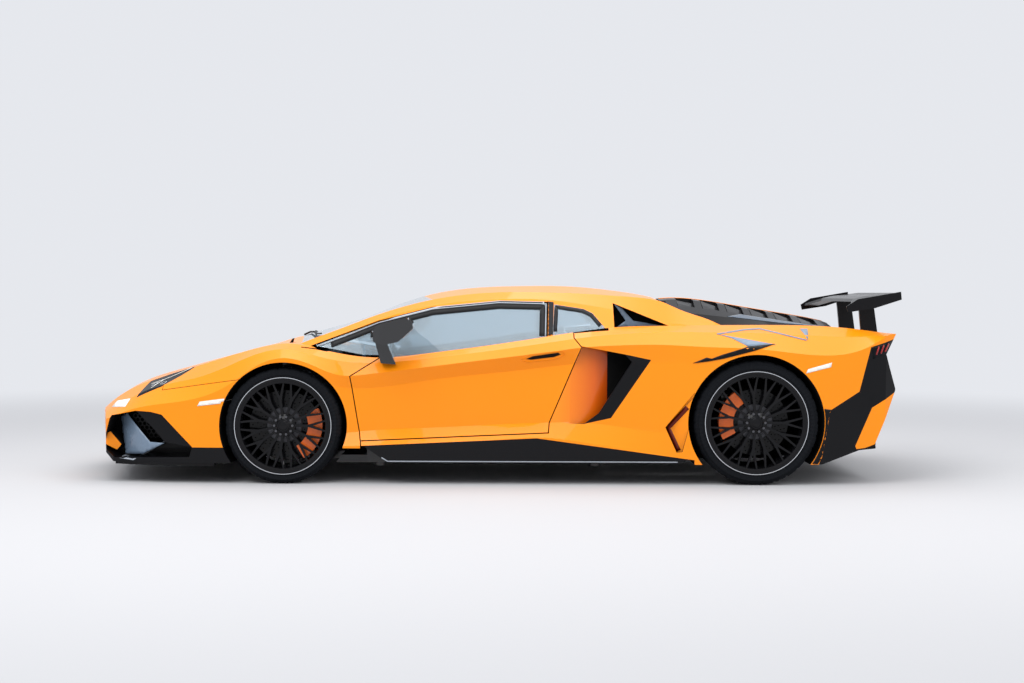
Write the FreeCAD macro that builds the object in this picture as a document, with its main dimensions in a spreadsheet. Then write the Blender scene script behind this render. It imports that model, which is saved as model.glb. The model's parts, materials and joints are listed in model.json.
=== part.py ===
import FreeCAD, Part
import os

# Mid-engined two-seat sports car with upward swinging doors.
# Frame: +X to the tail, left side at -Y, +Z up, ground at Z = 0, millimetres.
# Tables give points in the frame of the nominal car; at() fits them to the sheet's sizes.

V = FreeCAD.Vector
LENGTH, WIDTH, HEIGHT = 4835.0, 2030.0, 1136.0
NOSE, FRONT, REAR, TAIL = -2417.5, -1165.0, 1535.0, 2417.5

SIZES = [
    # alias, value
    ("overall_length", 4835),
    ("overall_width", 2030),
    ("overall_height", 1136),
    ("wheelbase", 2700),
    ("front_overhang", 1252.5),
    ("front_track", 1720),
    ("rear_track", 1650),
    ("front_tyre_radius", 330.5),
    ("front_tyre_width", 255),
    ("rear_tyre_radius", 355.5),
    ("rear_tyre_width", 355),
    ("front_rim_radius", 262),
    ("rear_rim_radius", 280),
    ("front_arch_radius", 363),
    ("rear_arch_radius", 390),
    ("spoke_count", 15),
    ("disc_radius_front", 200),
    ("disc_radius_rear", 190),
    ("disc_thickness", 34),
    ("axle_radius", 28),
    ("axle_play", 0.05),
    ("hinge_pin", 6),
    ("door_arm", 10),
    ("pin_radius", 14),
    ("jack_pad_radius", 32),
    ("arm_radius", 13),
    ("glass_thickness", 6),
    ("roof_thickness", 38),
    ("bonnet_thickness", 28),
    ("cover_thickness", 26),
    ("shut_gap", 6),
    ("door_skin", 8),
    ("door_depth", 85),
    ("door_lip", 3),
    ("floor_height", 112),
    ("louvre_length", 105),
    ("louvre_width", 600),
    ("spine_width", 110),
    ("post_thickness", 22),
    ("post_spacing", 672),
    ("steering_wheel_radius", 175),
    ("grip_radius", 15),
    ("column_radius", 24),
    ("exhaust_radius", 58),
    ("engine_width", 760),
    ("engine_length", 1150),
    ("engine_height", 520),
]

doc = FreeCAD.newDocument("supercar")
sheet = doc.addObject("Spreadsheet::Sheet", "sizes")
for row, (alias, value) in enumerate(SIZES, start=1):
    sheet.set("A%d" % row, alias)
    sheet.set("B%d" % row, str(value))
    sheet.setAlias("B%d" % row, alias)
doc.recompute()
S = {alias: float(sheet.get(alias)) for alias, value in SIZES}

HALF = S["overall_length"] / 2
FRONT_X = S["front_overhang"] - HALF
REAR_X = FRONT_X + S["wheelbase"]
X_MARKS = [(NOSE, -HALF), (FRONT, FRONT_X), (REAR, REAR_X), (TAIL, HALF)]
WHEELS = [
    # name, centre x, side (left is -1), end of the car
    ("fl", FRONT_X, -1, "front"),
    ("fr", FRONT_X, 1, "front"),
    ("rl", REAR_X, -1, "rear"),
    ("rr", REAR_X, 1, "rear"),
]


def at_x(x):
    for (n0, a0), (n1, a1) in zip(X_MARKS, X_MARKS[1:]):
        if x <= n1 or n1 == TAIL:
            return a0 + (x - n0) * (a1 - a0) / (n1 - n0)


def at(x, y, z):
    return V(at_x(x), y * S["overall_width"] / WIDTH, z * S["overall_height"] / HEIGHT)


def loop(points):
    return Part.makePolygon(points + [points[0]])


def side_prism(outline, y0, y1):
    """Outline of (x, z) points, drawn out from y0 to y1."""
    wire = loop([at(x, y0, z) for x, z in outline])
    return Part.Face(wire).extrude(at(0, y1, 0) - at(0, y0, 0))


def plan_prism(outline, z0, z1):
    """Outline of (x, y) points, drawn out from z0 to z1."""
    wire = loop([at(x, y, z0) for x, y in outline])
    return Part.Face(wire).extrude(at(0, 0, z1) - at(0, 0, z0))


def plan_both(half, z0, z1):
    """Plan outline given on the +Y side, mirrored to both sides."""
    return plan_prism(half + [(x, -y) for x, y in reversed(half) if y], z0, z1)


def block(x0, x1, y0, y1, z0, z1):
    low = at(x0, y0, z0)
    size = at(x1, y1, z1) - low
    return Part.makeBox(size.x, size.y, size.z, low)


def mirrored(shape):
    return shape.mirror(V(0, 0, 0), V(0, 1, 0))


def pair(shape):
    return Part.makeCompound([shape, mirrored(shape)])


def largest(shape):
    return max(shape.Solids, key=lambda solid: solid.Volume)


def rod(start, end, radius):
    return Part.makeCylinder(radius, (end - start).Length, start, end - start)


def mesh_of(sections):
    """Smooth solid through closed sections, each a list of points."""
    return Part.makeLoft([loop(points) for points in sections], True, False)


def put(name, shape):
    feature = doc.addObject("Part::Feature", name)
    feature.Label = name
    feature.Shape = shape
    return feature


# Lower body: each row is a station from nose to tail. Columns are the centre height, then
# y, z of: deck, crest, shoulder, crease, undercut, flank, sill edge.
HULL = [
    (-2440, 345, 250, 343, 520, 325, 700, 300, 850, 262, 855, 240, 860, 200, 865, 140),
    (-2240, 466, 280, 464, 560, 438, 730, 385, 880, 325, 885, 300, 888, 230, 890, 140),
    (-2040, 574, 330, 572, 600, 552, 770, 495, 902, 418, 906, 380, 912, 260, 915, 150),
    (-1850, 632, 400, 630, 640, 615, 800, 560, 937, 453, 940, 410, 948, 280, 952, 170),
    (-1650, 684, 430, 686, 700, 676, 855, 606, 966, 488, 967, 440, 975, 300, 980, 195),
    (-1480, 728, 450, 732, 740, 728, 890, 672, 982, 560, 984, 500, 985, 300, 985, 205),
    (-1300, 782, 480, 778, 760, 778, 905, 745, 992, 680, 993, 600, 990, 300, 988, 205),
    (-1150, 820, 520, 800, 790, 795, 915, 765, 997, 718, 997, 640, 990, 300, 988, 205),
    (-1000, 800, 560, 790, 835, 772, 930, 735, 993, 680, 990, 600, 980, 300, 988, 208),
    (-850, 760, 600, 750, 862, 740, 930, 700, 978, 622, 962, 555, 955, 290, 990, 215),
    (-700, 722, 600, 722, 868, 720, 928, 690, 970, 624, 945, 545, 940, 300, 995, 221),
    (-350, 742, 600, 742, 866, 742, 928, 714, 970, 668, 935, 590, 928, 318, 1000, 237),
    (0, 788, 600, 788, 858, 788, 926, 758, 970, 712, 930, 630, 922, 335, 1002, 252),
    (350, 840, 600, 840, 842, 842, 922, 808, 970, 756, 928, 670, 928, 350, 1003, 268),
    (560, 872, 600, 872, 812, 874, 912, 838, 974, 784, 940, 690, 940, 350, 1003, 240),
    (760, 880, 590, 884, 780, 896, 912, 858, 985, 796, 965, 690, 965, 330, 1004, 208),
    (1000, 872, 560, 880, 748, 903, 910, 870, 1000, 800, 990, 700, 990, 300, 1006, 170),
    (1250, 868, 540, 878, 732, 907, 905, 870, 1010, 788, 1010, 700, 1010, 300, 1008, 140),
    (1535, 862, 530, 876, 722, 909, 898, 866, 1014, 778, 1015, 700, 1015, 300, 1008, 140),
    (1920, 854, 510, 868, 735, 905, 890, 850, 1000, 742, 998, 660, 985, 400, 975, 170),
    (2191, 842, 500, 852, 765, 882, 870, 848, 955, 797, 950, 700, 945, 430, 935, 200),
    (2440, 836, 480, 846, 790, 866, 845, 858, 880, 850, 875, 770, 868, 480, 860, 230),
]
HULL_BOTTOM = 118

# Cabin top: columns are the centre height, then y, z of: roof edge, window top, belt.
CABIN = [
    (-1260, 786, 745, 732, 800, 697, 840, 680),
    (-1114, 836, 720, 786, 792, 752, 842, 730),
    (-985, 873, 690, 836, 792, 785, 842, 768),
    (-848, 912, 657, 887, 757, 842, 851, 742),
    (-639, 992, 612, 966, 700, 933, 855, 722),
    (-326, 1090, 553, 1052, 650, 1016, 851, 745),
    (64, 1132, 520, 1096, 625, 1055, 842, 794),
    (423, 1136, 520, 1094, 630, 1045, 822, 850),
    (620, 1125, 525, 1086, 645, 1016, 792, 882),
    (767, 1109, 535, 1076, 660, 990, 772, 890),
    (976, 1076, 560, 1056, 680, 935, 745, 880),
    (1106, 1040, 578, 1008, 690, 915, 735, 860),
    (1240, 995, 600, 958, 697, 888, 738, 838),
    (1369, 925, 620, 908, 704, 862, 740, 812),
    (1500, 850, 640, 858, 710, 836, 742, 786),
]

# Engine cover: columns are the centre height, then y, z of: spine edge, side, foot.
COVER = [
    (1046, 1060, 180, 1050, 415, 985, 462, 925),
    (1295, 1056, 172, 1046, 412, 965, 462, 908),
    (1540, 1018, 162, 1008, 398, 938, 456, 892),
    (1810, 974, 150, 965, 378, 908, 448, 880),
    (2085, 922, 140, 914, 350, 886, 430, 866),
]


def pairs_of(values):
    return list(zip(values[0::2], values[1::2]))


def section(x, half):
    """Closed section from half points that start on the centre line, on the -Y side first."""
    left = [at(x, -y, z) for y, z in half]
    right = [at(x, y, z) for y, z in half[1:]]
    return left + right[::-1]


def hull():
    rows = []
    for row in HULL:
        half = [(0, row[1])] + pairs_of(row[2:])
        rows.append(section(row[0], half + [(half[-1][0], HULL_BOTTOM)]))
    return mesh_of(rows)


def cabin_top(inset):
    rows = []
    for row in CABIN:
        edge, window, belt = pairs_of(row[2:])
        foot = (belt[0] + 0.25 * (belt[0] - window[0]), belt[1] - 0.25 * (window[1] - belt[1]))
        half = [
            (0, row[1] - inset),
            (edge[0] - 0.5 * inset, edge[1] - inset),
            (window[0] - 0.8 * inset, window[1] - 0.8 * inset),
            (foot[0] - 1.1 * inset, foot[1] - 0.4 * inset),
            (foot[0] - 1.1 * inset, 560 + inset),
        ]
        rows.append(section(row[0], half))
    return mesh_of(rows)


def engine_cover_block():
    rows = []
    for row in COVER:
        half = [(0, row[1])] + pairs_of(row[2:])
        rows.append(section(row[0], half + [(half[-1][0], 780)]))
    return mesh_of(rows)


def skin_down(shape, thickness):
    return largest(shape.cut(shape.translated(V(0, 0, -thickness))))


# Outlines in plan (x, y on the +Y side) and in side view (x, z).
NOSE_PLAN = [(-2417.5, 0), (-2204, 850), (-2150, 900), (-1900, 960), (-1600, 1100),
             (1900, 1100), (2200, 990), (2350, 870), (2390, 600), (2400, 0)]
SIDE_TRIM = [(-2440, 330), (-2440, 1000), (2362, 1000), (2362, 874), (2352, 862), (2286, 747),
             (2310, 670), (2352, 543), (2222, 232), (1912, 118), (-2150, 118), (-2300, 250)]
BONNET_PLAN = [(-2130, 0), (-2040, 400), (-1700, 590), (-1165, 690), (-1235, 0)]
BONNET_HOLE = [(-2136, 0), (-2046, 406), (-1704, 597), (-1142, 697), (-1222, 0)]
SHUT_BUMPER = [(-2500, 90), (-1400, 90), (-1400, 594), (-1467, 585), (-1884, 523), (-1900, 900),
               (-2500, 900)]
INTAKE = [(-2230, 198), (-2172, 380), (-2022, 410), (-1931, 405), (-1865, 390), (-1683, 208),
          (-1700, 150), (-2140, 140)]
INTAKE_BLADE = [(-2168, 372), (-2050, 244), (-2122, 130), (-1935, 148), (-1850, 228),
                (-1940, 232), (-2095, 394)]
INTAKE_FRAME = [(-2022, 410), (-1931, 405), (-1865, 390), (-1683, 208), (-1846, 232), (-1905, 300)]
NOSE_FIN = [(-2289, 244), (-2189, 281), (-2127, 207), (-2153, 176)]
NOSE_INTAKE = [(-2450, 165), (-2450, 262), (-2230, 262), (-2230, 165)]
HEADLAMP_PLAN = [(-2040, 800), (-1994, 620), (-1686, 660), (-1891, 800)]
DOOR_SIDE = [(-721, 249), (-781, 613), (-623, 712), (-623, 1000), (494, 1000), (494, 834),
             (535, 782), (352, 350), (347, 298)]
DOOR_CORE = [(-700, 262), (-690, 487), (-600, 690), (-600, 1000), (430, 1000), (440, 800),
             (400, 700), (300, 370), (285, 300)]
DOOR_LIP = [(-795, 606), (-610, 722), (-600, 702), (-770, 588)]
SCREEN_PLAN = [(-1196, 0), (-1120, 712), (-848, 647), (-581, 590), (-332, 543), (-410, 0)]
SCREEN_HOLE = [(-1400, 0), (-1400, 680), (-1108, 690), (-848, 625), (-581, 568), (-352, 525),
               (-430, 0)]
DOOR_GLASS = [(-1000, 784), (-639, 920), (-326, 1000), (64, 1038), (345, 1032), (338, 820),
              (-126, 742), (-508, 700), (-612, 700), (-616, 732), (-718, 733), (-975, 780)]
QUARTER_GLASS = [(388, 1026), (560, 1000), (612, 975), (680, 892), (680, 850), (374, 826)]
TAIL_PANEL = [(1880, 90), (1912, 161), (1957, 429), (2125, 535), (2191, 788), (2345, 836),
              (2500, 836), (2500, 90)]
SILL_LINE = [(-718, 221), (-795, 216), (283, 266), (1181, 144)]
SCOOP = [(535, 790), (786, 744), (933, 713), (707, 379), (555, 344), (352, 350)]
SCOOP_BLADE = [(786, 744), (933, 713), (707, 379), (555, 344), (638, 405), (825, 700)]
SCOOP_PLAN = [(380, -968), (380, -1100), (1000, -1100), (1100, -760), (1080, -540),
              (900, -540), (880, -775), (690, -853)]
WHEEL_VENT = [(1180, 530), (1015, 330), (1078, 187), (1112, 190), (1150, 330), (1186, 470)]
VENT_PLAN = [(1000, -1100), (1000, -944), (1190, -1004), (1190, -1100)]
CORNER_FIN = [(2365, 538), (2202, 442), (2106, 222), (2114, 205), (2226, 218), (2365, 398)]
LAMP_FACE = [(2200, 764), (2420, 764), (2420, 818), (2200, 818)]
ROOF_REAR = 1010
LOUVRES = [1150, 1300, 1450, 1600, 1750, 1900]


def wheel_well(x, radius, inner):
    z = S["front_tyre_radius"] if x < 0 else S["rear_tyre_radius"]
    start = V(x, -1200, z)
    return Part.makeCylinder(radius, 1200 - inner, start, V(0, 1, 0))


def left(shape):
    """The -Y half of a shape."""
    return shape.common(block(-2600, 2600, -1300, 0, 0, 1400))


def grown(outline, gap):
    """Side outline moved out by the shut gap on the whole."""
    face = Part.Face(loop([V(x, 0, z) for x, z in outline]))
    wire = face.makeOffset2D(gap, 2, False, False, False).OuterWire
    return [(v.X, v.Z) for v in wire.OrderedVertexes]


gap = S["shut_gap"]
body = hull()
body = body.common(plan_both(NOSE_PLAN, 0, 1200)).common(side_prism(SIDE_TRIM, -1300, 1300))
half_body = left(body)
top = cabin_top(0)
top_inside = cabin_top(S["roof_thickness"])
top_shell = top.cut(top_inside)
glass_shell = top.cut(cabin_top(S["glass_thickness"]))
front_well = wheel_well(FRONT_X, S["front_arch_radius"], 555)
rear_well = wheel_well(REAR_X, S["rear_arch_radius"], 600)
front_wells = pair(front_well)
door_hole = side_prism(grown(DOOR_SIDE, gap), -1300, -500)
bonnet_hole = plan_both(BONNET_HOLE, 0, 1300)


def across(point, y0, y1, radius):
    """Rod along Y through a point, from y0 to y1."""
    return rod(V(point.x, y0, point.z), V(point.x, y1, point.z), radius)


def make_tub():
    """Floor, tunnel, sills, bulkheads and rails, with the cowl cut out of the front wall."""
    cowl = body.common(plan_both([(-1245, 0), (-1245, 600), (-1000, 600), (-1000, 0)], 0, 1300))
    cowl = cowl.cut(body.translated(V(0, 0, -45))).cut(bonnet_hole).cut(top)
    front_wall = block(-1225, -1195, -540, 540, 140, 900).common(body.translated(V(0, 0, -44)))
    rear_wall = block(660, 690, -600, 600, 840, 1300).common(top_inside)
    floor = block(-1240, 700, -800, 800, 118, 150)
    parts = [front_wall, rear_wall, block(-1240, 700, -130, 130, 140, 400),
             block(660, 700, -780, 780, 140, 850), block(-2050, -1960, -520, 520, 150, 330),
             block(880, 940, -500, 500, 205, 240), block(1700, 1760, -500, 500, 205, 240)]
    for side in (-1, 1):
        for x0, x1, y0, y1, z0, z1 in ((-690, 690, 790, 905, 118, 236),
                                       (-2050, -1195, 430, 520, 154, 330),
                                       (690, 2250, 480, 560, 200, 330)):
            y0, y1 = sorted((side * y0, side * y1))
            parts.append(block(x0, x1, y0, y1, z0, z1))
        for x in (-620, 620):
            parts.append(rod(at(x, side * 850, 96), at(x, side * 850, 130),
                             S["jack_pad_radius"]))
    shape = floor.multiFuse(parts).cut(cowl).cut(front_wells)
    return largest(shape.removeSplitter()), cowl


tub, cowl = make_tub()
put("tub", tub)


def make_front():
    """Left half of the front clip, cut for the lid, the boot, the wheel and the tub."""
    lid_space = body.common(bonnet_hole)
    lid_space = lid_space.cut(body.translated(V(0, 0, -S["bonnet_thickness"] - gap)))
    half = half_body.common(block(-2600, -560, -1300, 0, 0, 1400)).cut(front_well)
    half = half.cut(lid_space).cut(block(-1990, -1300, -410, 410, 330, 1300))
    half = half.cut(plan_prism([(-1640, 0), (-1640, -545), (-700, -545), (-500, -800),
                                (-500, 0)], 0, 1300)).cut(tub)
    lamp_space = plan_prism([(x, -y) for x, y in HEADLAMP_PLAN], 400, 900)
    lamp_space = lamp_space.cut(body.translated(V(0, 0, -60)))
    lamp = largest(half.common(lamp_space))
    half = half.cut(lamp_space)
    bumper = half.common(side_prism(SHUT_BUMPER, -1300, 0))
    bumper = bumper.cut(side_prism(INTAKE, -1300, -640))
    bumper = bumper.cut(side_prism(NOSE_INTAKE, -430, 0))
    fender = half.cut(side_prism(grown(SHUT_BUMPER, 3), -1300, 0)).cut(door_hole)
    fender = fender.cut(block(-1250, -500, -1300, 0, 0, 205))
    fender = fender.cut(block(-724, -500, -1300, 0, 0, 248))
    fender = fender.cut(block(-1290, -1040, -600, -500, 180, 480))
    return bumper, largest(fender.cut(top)), lamp


def make_bonnet():
    """Lid with two straps that turn on pins in the fenders."""
    lid = skin_down(body.common(plan_both(BONNET_PLAN, 0, 1300)), S["bonnet_thickness"])
    strap = side_prism([(-1215, 762), (-1215, 793), (-1172, 793), (-1162, 789), (-1142, 789),
                        (-1142, 762)], -650, -630)
    strap = strap.cut(across(BONNET_PIVOT, -900, 0, S["hinge_pin"] + S["axle_play"]))
    return lid.multiFuse([strap, mirrored(strap)]).removeSplitter()


def hinge_plate(outline, thickness):
    """Outline of (x, up) points round the door's pivot, as a plate square to its axis."""
    up = DOOR_AXIS.cross(V(1, 0, 0))
    face = Part.Face(loop([DOOR_PIVOT + V(x, 0, 0) + up * u for x, u in outline]))
    return face.extrude(DOOR_AXIS * thickness).translated(DOOR_AXIS * (-thickness / 2))


def hinge_rod(radius, length):
    return rod(DOOR_PIVOT - DOOR_AXIS * (length / 2), DOOR_PIVOT + DOOR_AXIS * (length / 2),
               radius)


def make_door_arm():
    """Arm that the door hangs on; it swings in a slot of the fender round a fixed pin."""
    arm = hinge_plate(DOOR_ARM, S["door_arm"]).fuse(hinge_rod(12, S["door_arm"]))
    arm = arm.fuse(block(-630, -575, -915, -802, 614, 655))
    return arm.cut(hinge_rod(S["hinge_pin"] + S["axle_play"], 60))


BONNET_PIVOT = at(-1150, 0, 785)
DOOR_PIVOT = at(-1060, -845, 759.75)
DOOR_AXIS = V(0, -1, -0.25).normalize()
DOOR_ARM = [(-2, 11), (70, -2), (290, -42), (485, -100), (485, -150), (430, -150), (430, -112),
            (280, -72), (60, -26), (-2, -11)]
DOOR_SLOT = [(-16, -16), (-16, 90), (190, 90), (190, -62), (60, -34), (16, -16)]
bumper_half, fender, headlamp = make_front()
bumper = largest(bumper_half.fuse(mirrored(bumper_half)).removeSplitter())
valance = bumper.common(block(-2600, -1300, -1100, 1100, 90, 206))
nose_fin = left(body).common(side_prism(NOSE_FIN, -800, -640))
bumper = bumper.cut(valance).multiFuse([nose_fin, mirrored(nose_fin)])
bumper = largest(bumper.removeSplitter())
put("front_bumper", bumper)
put("bonnet", make_bonnet())
pocket = block(-1230, -1134, -656, -624, 740, 830)
fender = fender.cut(pocket).fuse(across(BONNET_PIVOT, at(0, -670, 0).y, at(0, -610, 0).y,
                                        S["hinge_pin"]))
fender = fender.cut(hinge_plate(DOOR_SLOT, S["door_arm"] + 6))
fender = largest(fender.fuse(hinge_rod(S["hinge_pin"], S["door_arm"] + 18)))
put("front_fenders", fender.multiFuse([mirrored(fender), cowl]).removeSplitter())
put("headlamps", pair(headlamp))


def make_door():
    """Full outer skin on a smaller, thicker core, with an arm, and the pane that stands in it.

    The skin thins to a lip along its upper front edge, which lifts past the fender.
    """
    half = half_body.common(side_prism(DOOR_SIDE, -1300, -500)).cut(top)
    skin = half.cut(half.translated(V(0, S["door_skin"], 0)))
    core = half.common(side_prism(DOOR_CORE, -1300, -500))
    core = core.cut(half.translated(V(0, S["door_depth"], 0)))
    door = skin.fuse(core).removeSplitter().common(block(-1000, 700, -1300, -700, 0, 1200))
    pane = largest(left(glass_shell).common(side_prism(DOOR_GLASS, -1300, -300)))
    lip = half_body.translated(V(0, S["door_lip"], 0))
    door = door.cut(lip.common(side_prism(DOOR_LIP, -1300, -880)))
    return largest(door.fuse(make_door_arm()).cut(pane).removeSplitter()), pane


def make_mirror():
    head = side_prism([(-664, 862), (-603, 917), (-454, 950), (-417, 922), (-417, 890),
                       (-501, 815), (-585, 796), (-664, 824)], -1132, -935)
    head = head.common(plan_prism([(-640, -935), (-664, -1000), (-640, -1110), (-600, -1132),
                                   (-417, -1118), (-417, -935)], 0, 1400))
    arm = side_prism([(-650, 850), (-590, 850), (-520, 683), (-606, 690)], -985, -880)
    return largest(head.fuse(arm).removeSplitter().cut(body).cut(top))


door, pane = make_door()
mirror = make_mirror()
for name, shape in (("door", door), ("door_glass", pane), ("mirror", mirror)):
    put(name + "_left", shape)
    put(name + "_right", mirrored(shape))


def make_rear():
    """Both quarters with the sills under the doors and the tail deck, and the black tail."""
    half = half_body.common(block(-718, 2600, -1300, 0, 0, 1400))
    half = half.common(side_prism(SILL_LINE + [(1181, 90), (2600, 90), (2600, 1000),
                                               (-718, 1000)], -1300, 0))
    half = half.cut(door_hole).cut(rear_well).cut(block(-800, 700, -835, 0, 0, 1400))
    half = half.cut(block(690, 2090, -560, 0, 0, 800)).cut(block(690, 2112, -470, 0, 0, 1400))
    half = half.cut(block(2000, 2600, -560, 0, 0, 780)).cut(tub)
    half = half.cut(block(1380, 1690, -640, -540, 215, 495))
    half = half.cut(side_prism(TAIL_PANEL, -1300, 0))
    scoop = side_prism(SCOOP, -1300, -300).common(plan_prism(SCOOP_PLAN, 0, 1300))
    half = half.cut(scoop)
    half = half.cut(side_prism(WHEEL_VENT, -1300, -900).common(plan_prism(VENT_PLAN, 0, 1300)))
    blade = half_body.common(side_prism(SCOOP_BLADE, -1300, -900))
    blade = largest(blade.cut(half_body.translated(V(0, 22, 0))).cut(half))
    half = half.cut(top)
    tail = body.common(side_prism(TAIL_PANEL, -1300, 1300))
    tail = tail.cut(block(690, 2230, -640, 640, 0, 1400)).cut(rear_well)
    tail = tail.cut(mirrored(rear_well)).cut(block(1800, 2600, -700, 700, 0, 420))
    for y in PIPE_Y:
        hole = Part.makeCylinder(S["exhaust_radius"] + 12, 400, at(2100, y, 520), V(1, 0, 0))
        tail = tail.cut(hole)
    return largest(half.fuse(mirrored(half)).removeSplitter()), blade, largest(tail.cut(tub))


PIPE_Y = (-82, 82)
quarters, blade, tail = make_rear()
put("rear_quarters", quarters)
front_blade = side_prism(INTAKE_BLADE, -868, -846)
front_frame = half_body.translated(V(0, 12, 0)).common(side_prism(INTAKE_FRAME, -1300, -840))
front_blade = largest(front_blade.fuse(front_frame).removeSplitter().cut(bumper).cut(valance))
put("intake_frames", Part.makeCompound([blade, mirrored(blade), front_blade,
                                        mirrored(front_blade)]))
fin = left(tail).common(side_prism(CORNER_FIN, -1300, -790))
fin = largest(fin.cut(half_body.translated(V(0, 60, 0))))
lamp = left(tail).common(side_prism(LAMP_FACE, -840, -470))
lamp = largest(lamp.cut(tail.translated(V(-40, 0, 0))))
tail = largest(tail.cut(fin).cut(mirrored(fin)).cut(lamp).cut(mirrored(lamp)))
put("rear_bumper", tail)
put("rear_fins", pair(fin))
put("tail_lamps", pair(lamp))


def make_roof():
    """Glass, and the roof with its pillars and the buttresses behind it."""
    screen = largest(glass_shell.common(plan_both(SCREEN_PLAN, 700, 1400)).cut(body))
    quarter = left(glass_shell).common(side_prism(QUARTER_GLASS, -1300, -300)).cut(body)
    quarter = largest(quarter)
    shell = top_shell.common(plan_both([(-1114, 0), (-1114, 900), (1440, 900), (1440, 0)],
                                       560, 1400))
    shell = shell.cut(plan_both(SCREEN_HOLE, 0, 1400))
    shell = shell.cut(side_prism(grown(DOOR_GLASS, 9), -1300, 1300))
    shell = shell.cut(side_prism(grown(QUARTER_GLASS, -12), -1300, 1300))
    shell = shell.cut(block(ROOF_REAR, 1500, -545, 545, 0, 1400))
    shell = shell.cut(side_prism([(735, 700), (735, 1034), (1104, 884), (1120, 700)],
                                 -1300, 1300))
    shell = largest(shell.cut(body).cut(screen).cut(quarter).cut(mirrored(quarter)))
    lug = side_prism([(950, 1070), (950, 1030), (1030, 1014), (1054, 1018), (1054, 1042),
                      (1030, 1046), (1000, 1060)], -330, -310).common(top)
    lug = lug.cut(across(COVER_PIVOT, -900, 0, S["hinge_pin"] + S["axle_play"]))
    return screen, quarter, largest(shell.multiFuse([lug, mirrored(lug)]).removeSplitter())


def make_cover():
    """Louvred lid over the engine; it turns on pins in the roof's two lugs."""
    solid = engine_cover_block()
    lid = skin_down(solid, S["cover_thickness"])
    start = S["spine_width"] / 2
    for x in LOUVRES:
        slot = Part.makeBox(S["louvre_length"], S["louvre_width"] / 2 - start, 400,
                            at(x, 0, 750) + V(0, start, 0))
        lid = lid.cut(pair(slot))
    for side in (-1, 1):
        y0, y1 = sorted((side * 304, side * 336))
        lid = lid.cut(block(1000, 1062, y0, y1, 900, 1100))
    pin = across(COVER_PIVOT, -360, -280, S["hinge_pin"])
    pin = pin.multiFuse([block(1033, 1070, -360, -340, 1020, 1045),
                         block(1033, 1070, -300, -280, 1020, 1045)])
    return lid.multiFuse([pin, mirrored(pin)]).removeSplitter()


COVER_PIVOT = at(1040, 0, 1030)
screen, quarter, roof = make_roof()
put("windscreen", screen)
put("side_windows", pair(quarter))
put("roof", roof)
put("engine_cover", make_cover())

engine = doc.addObject("Part::Box", "engine")
engine.Label = "engine"
engine.setExpression("Length", "sizes.engine_length")
engine.setExpression("Width", "sizes.engine_width")
engine.setExpression("Height", "sizes.engine_height")
engine.Placement.Base = at(760, 0, 240) - V(0, S["engine_width"] / 2, 0)
engine_end = at_x(760) + S["engine_length"]


def plane_of(owner, role):
    for feature in owner.Origin.OriginFeatures:
        if feature.Role == role:
            return feature


def make_tyre(name, x, side, end):
    radius = S[end + "_tyre_radius"]
    half = S[end + "_tyre_width"] / 2
    rim = S[end + "_rim_radius"] - 4
    outline = [(rim, -half + 12), (radius - 34, -half), (radius, -half + 30),
               (radius, half - 30), (radius - 34, half), (rim, half - 12)]
    owner = doc.addObject("PartDesign::Body", name)
    owner.Label = name
    sketch = owner.newObject("Sketcher::SketchObject", name + "_section")
    sketch.AttachmentSupport = [(plane_of(owner, "XY_Plane"), "")]
    sketch.MapMode = "FlatFace"
    for (r0, y0), (r1, y1) in zip(outline, outline[1:] + outline[:1]):
        sketch.addGeometry(Part.LineSegment(V(r0, y0, 0), V(r1, y1, 0)), False)
    turn = owner.newObject("PartDesign::Revolution", name + "_turn")
    turn.Profile = sketch
    turn.ReferenceAxis = (sketch, ["V_Axis"])
    turn.Angle = 360
    owner.Placement.Base = V(x, side * S[end + "_track"] / 2, radius)


def disc_face(end):
    """Outer face of the brake disc, from the wheel's middle plane."""
    return 86 - S[end + "_tyre_width"] / 2


def turned(outline):
    """Outline of (radius, y) points turned about the wheel's axis."""
    face = Part.Face(loop([V(r, y, 0) for r, y in outline]))
    return face.revolve(V(0, 0, 0), V(0, 1, 0), 360)


def make_wheel(end):
    """Rim, forked spokes, hub, disc and stub axle in one solid; its outer face is at -Y."""
    half = S[end + "_tyre_width"] / 2
    rim = S[end + "_rim_radius"]
    disc = S["disc_radius_" + end]
    back = disc_face(end)
    inner = back + S["disc_thickness"]
    axle = S["axle_radius"]
    hub = turned([
        (0, -half + 26), (40, -half + 28), (66, -half + 44), (66, back), (disc, back),
        (disc, inner), (axle, inner), (axle, half + 20), (0, half + 20),
    ])
    barrel = turned([
        (rim - 4, -half + 4), (rim - 4, -half + 24), (rim - 20, -half + 60),
        (rim - 20, half - 32), (rim - 4, half - 14), (rim - 12, half - 12),
        (rim - 28, half - 34), (rim - 28, -half + 58), (rim - 18, -half + 4),
    ])
    fork = 0.55 * rim
    outline = [
        (50, -7), (fork, -7), (rim - 22, -34), (rim - 16, -26), (fork + 26, 0), (rim - 16, 26),
        (rim - 22, 34), (fork, 7), (50, 7),
    ]
    spoke = Part.Face(loop([V(r, -half, z) for r, z in outline])).extrude(V(0, half, 0))
    spoke = spoke.common(turned([
        (48, -half + 36), (rim - 60, -half + 12), (rim - 10, -half + 8), (rim - 10, -half + 30),
        (rim - 60, -half + 38), (48, -half + 60),
    ]))
    shapes = [barrel]
    count = int(S["spoke_count"])
    for i in range(count):
        copy = spoke.copy()
        copy.rotate(V(0, 0, 0), V(0, 1, 0), 360.0 * i / count)
        shapes.append(copy)
    return hub.multiFuse(shapes).removeSplitter()


rims = {end: make_wheel(end) for end in ("front", "rear")}
for name, x, side, end in WHEELS:
    make_tyre("tyre_" + name, x, side, end)
    shape = rims[end].copy() if side < 0 else mirrored(rims[end])
    shape.translate(V(x, side * S[end + "_track"] / 2, S[end + "_tyre_radius"]))
    put("wheel_" + name, shape)


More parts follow.
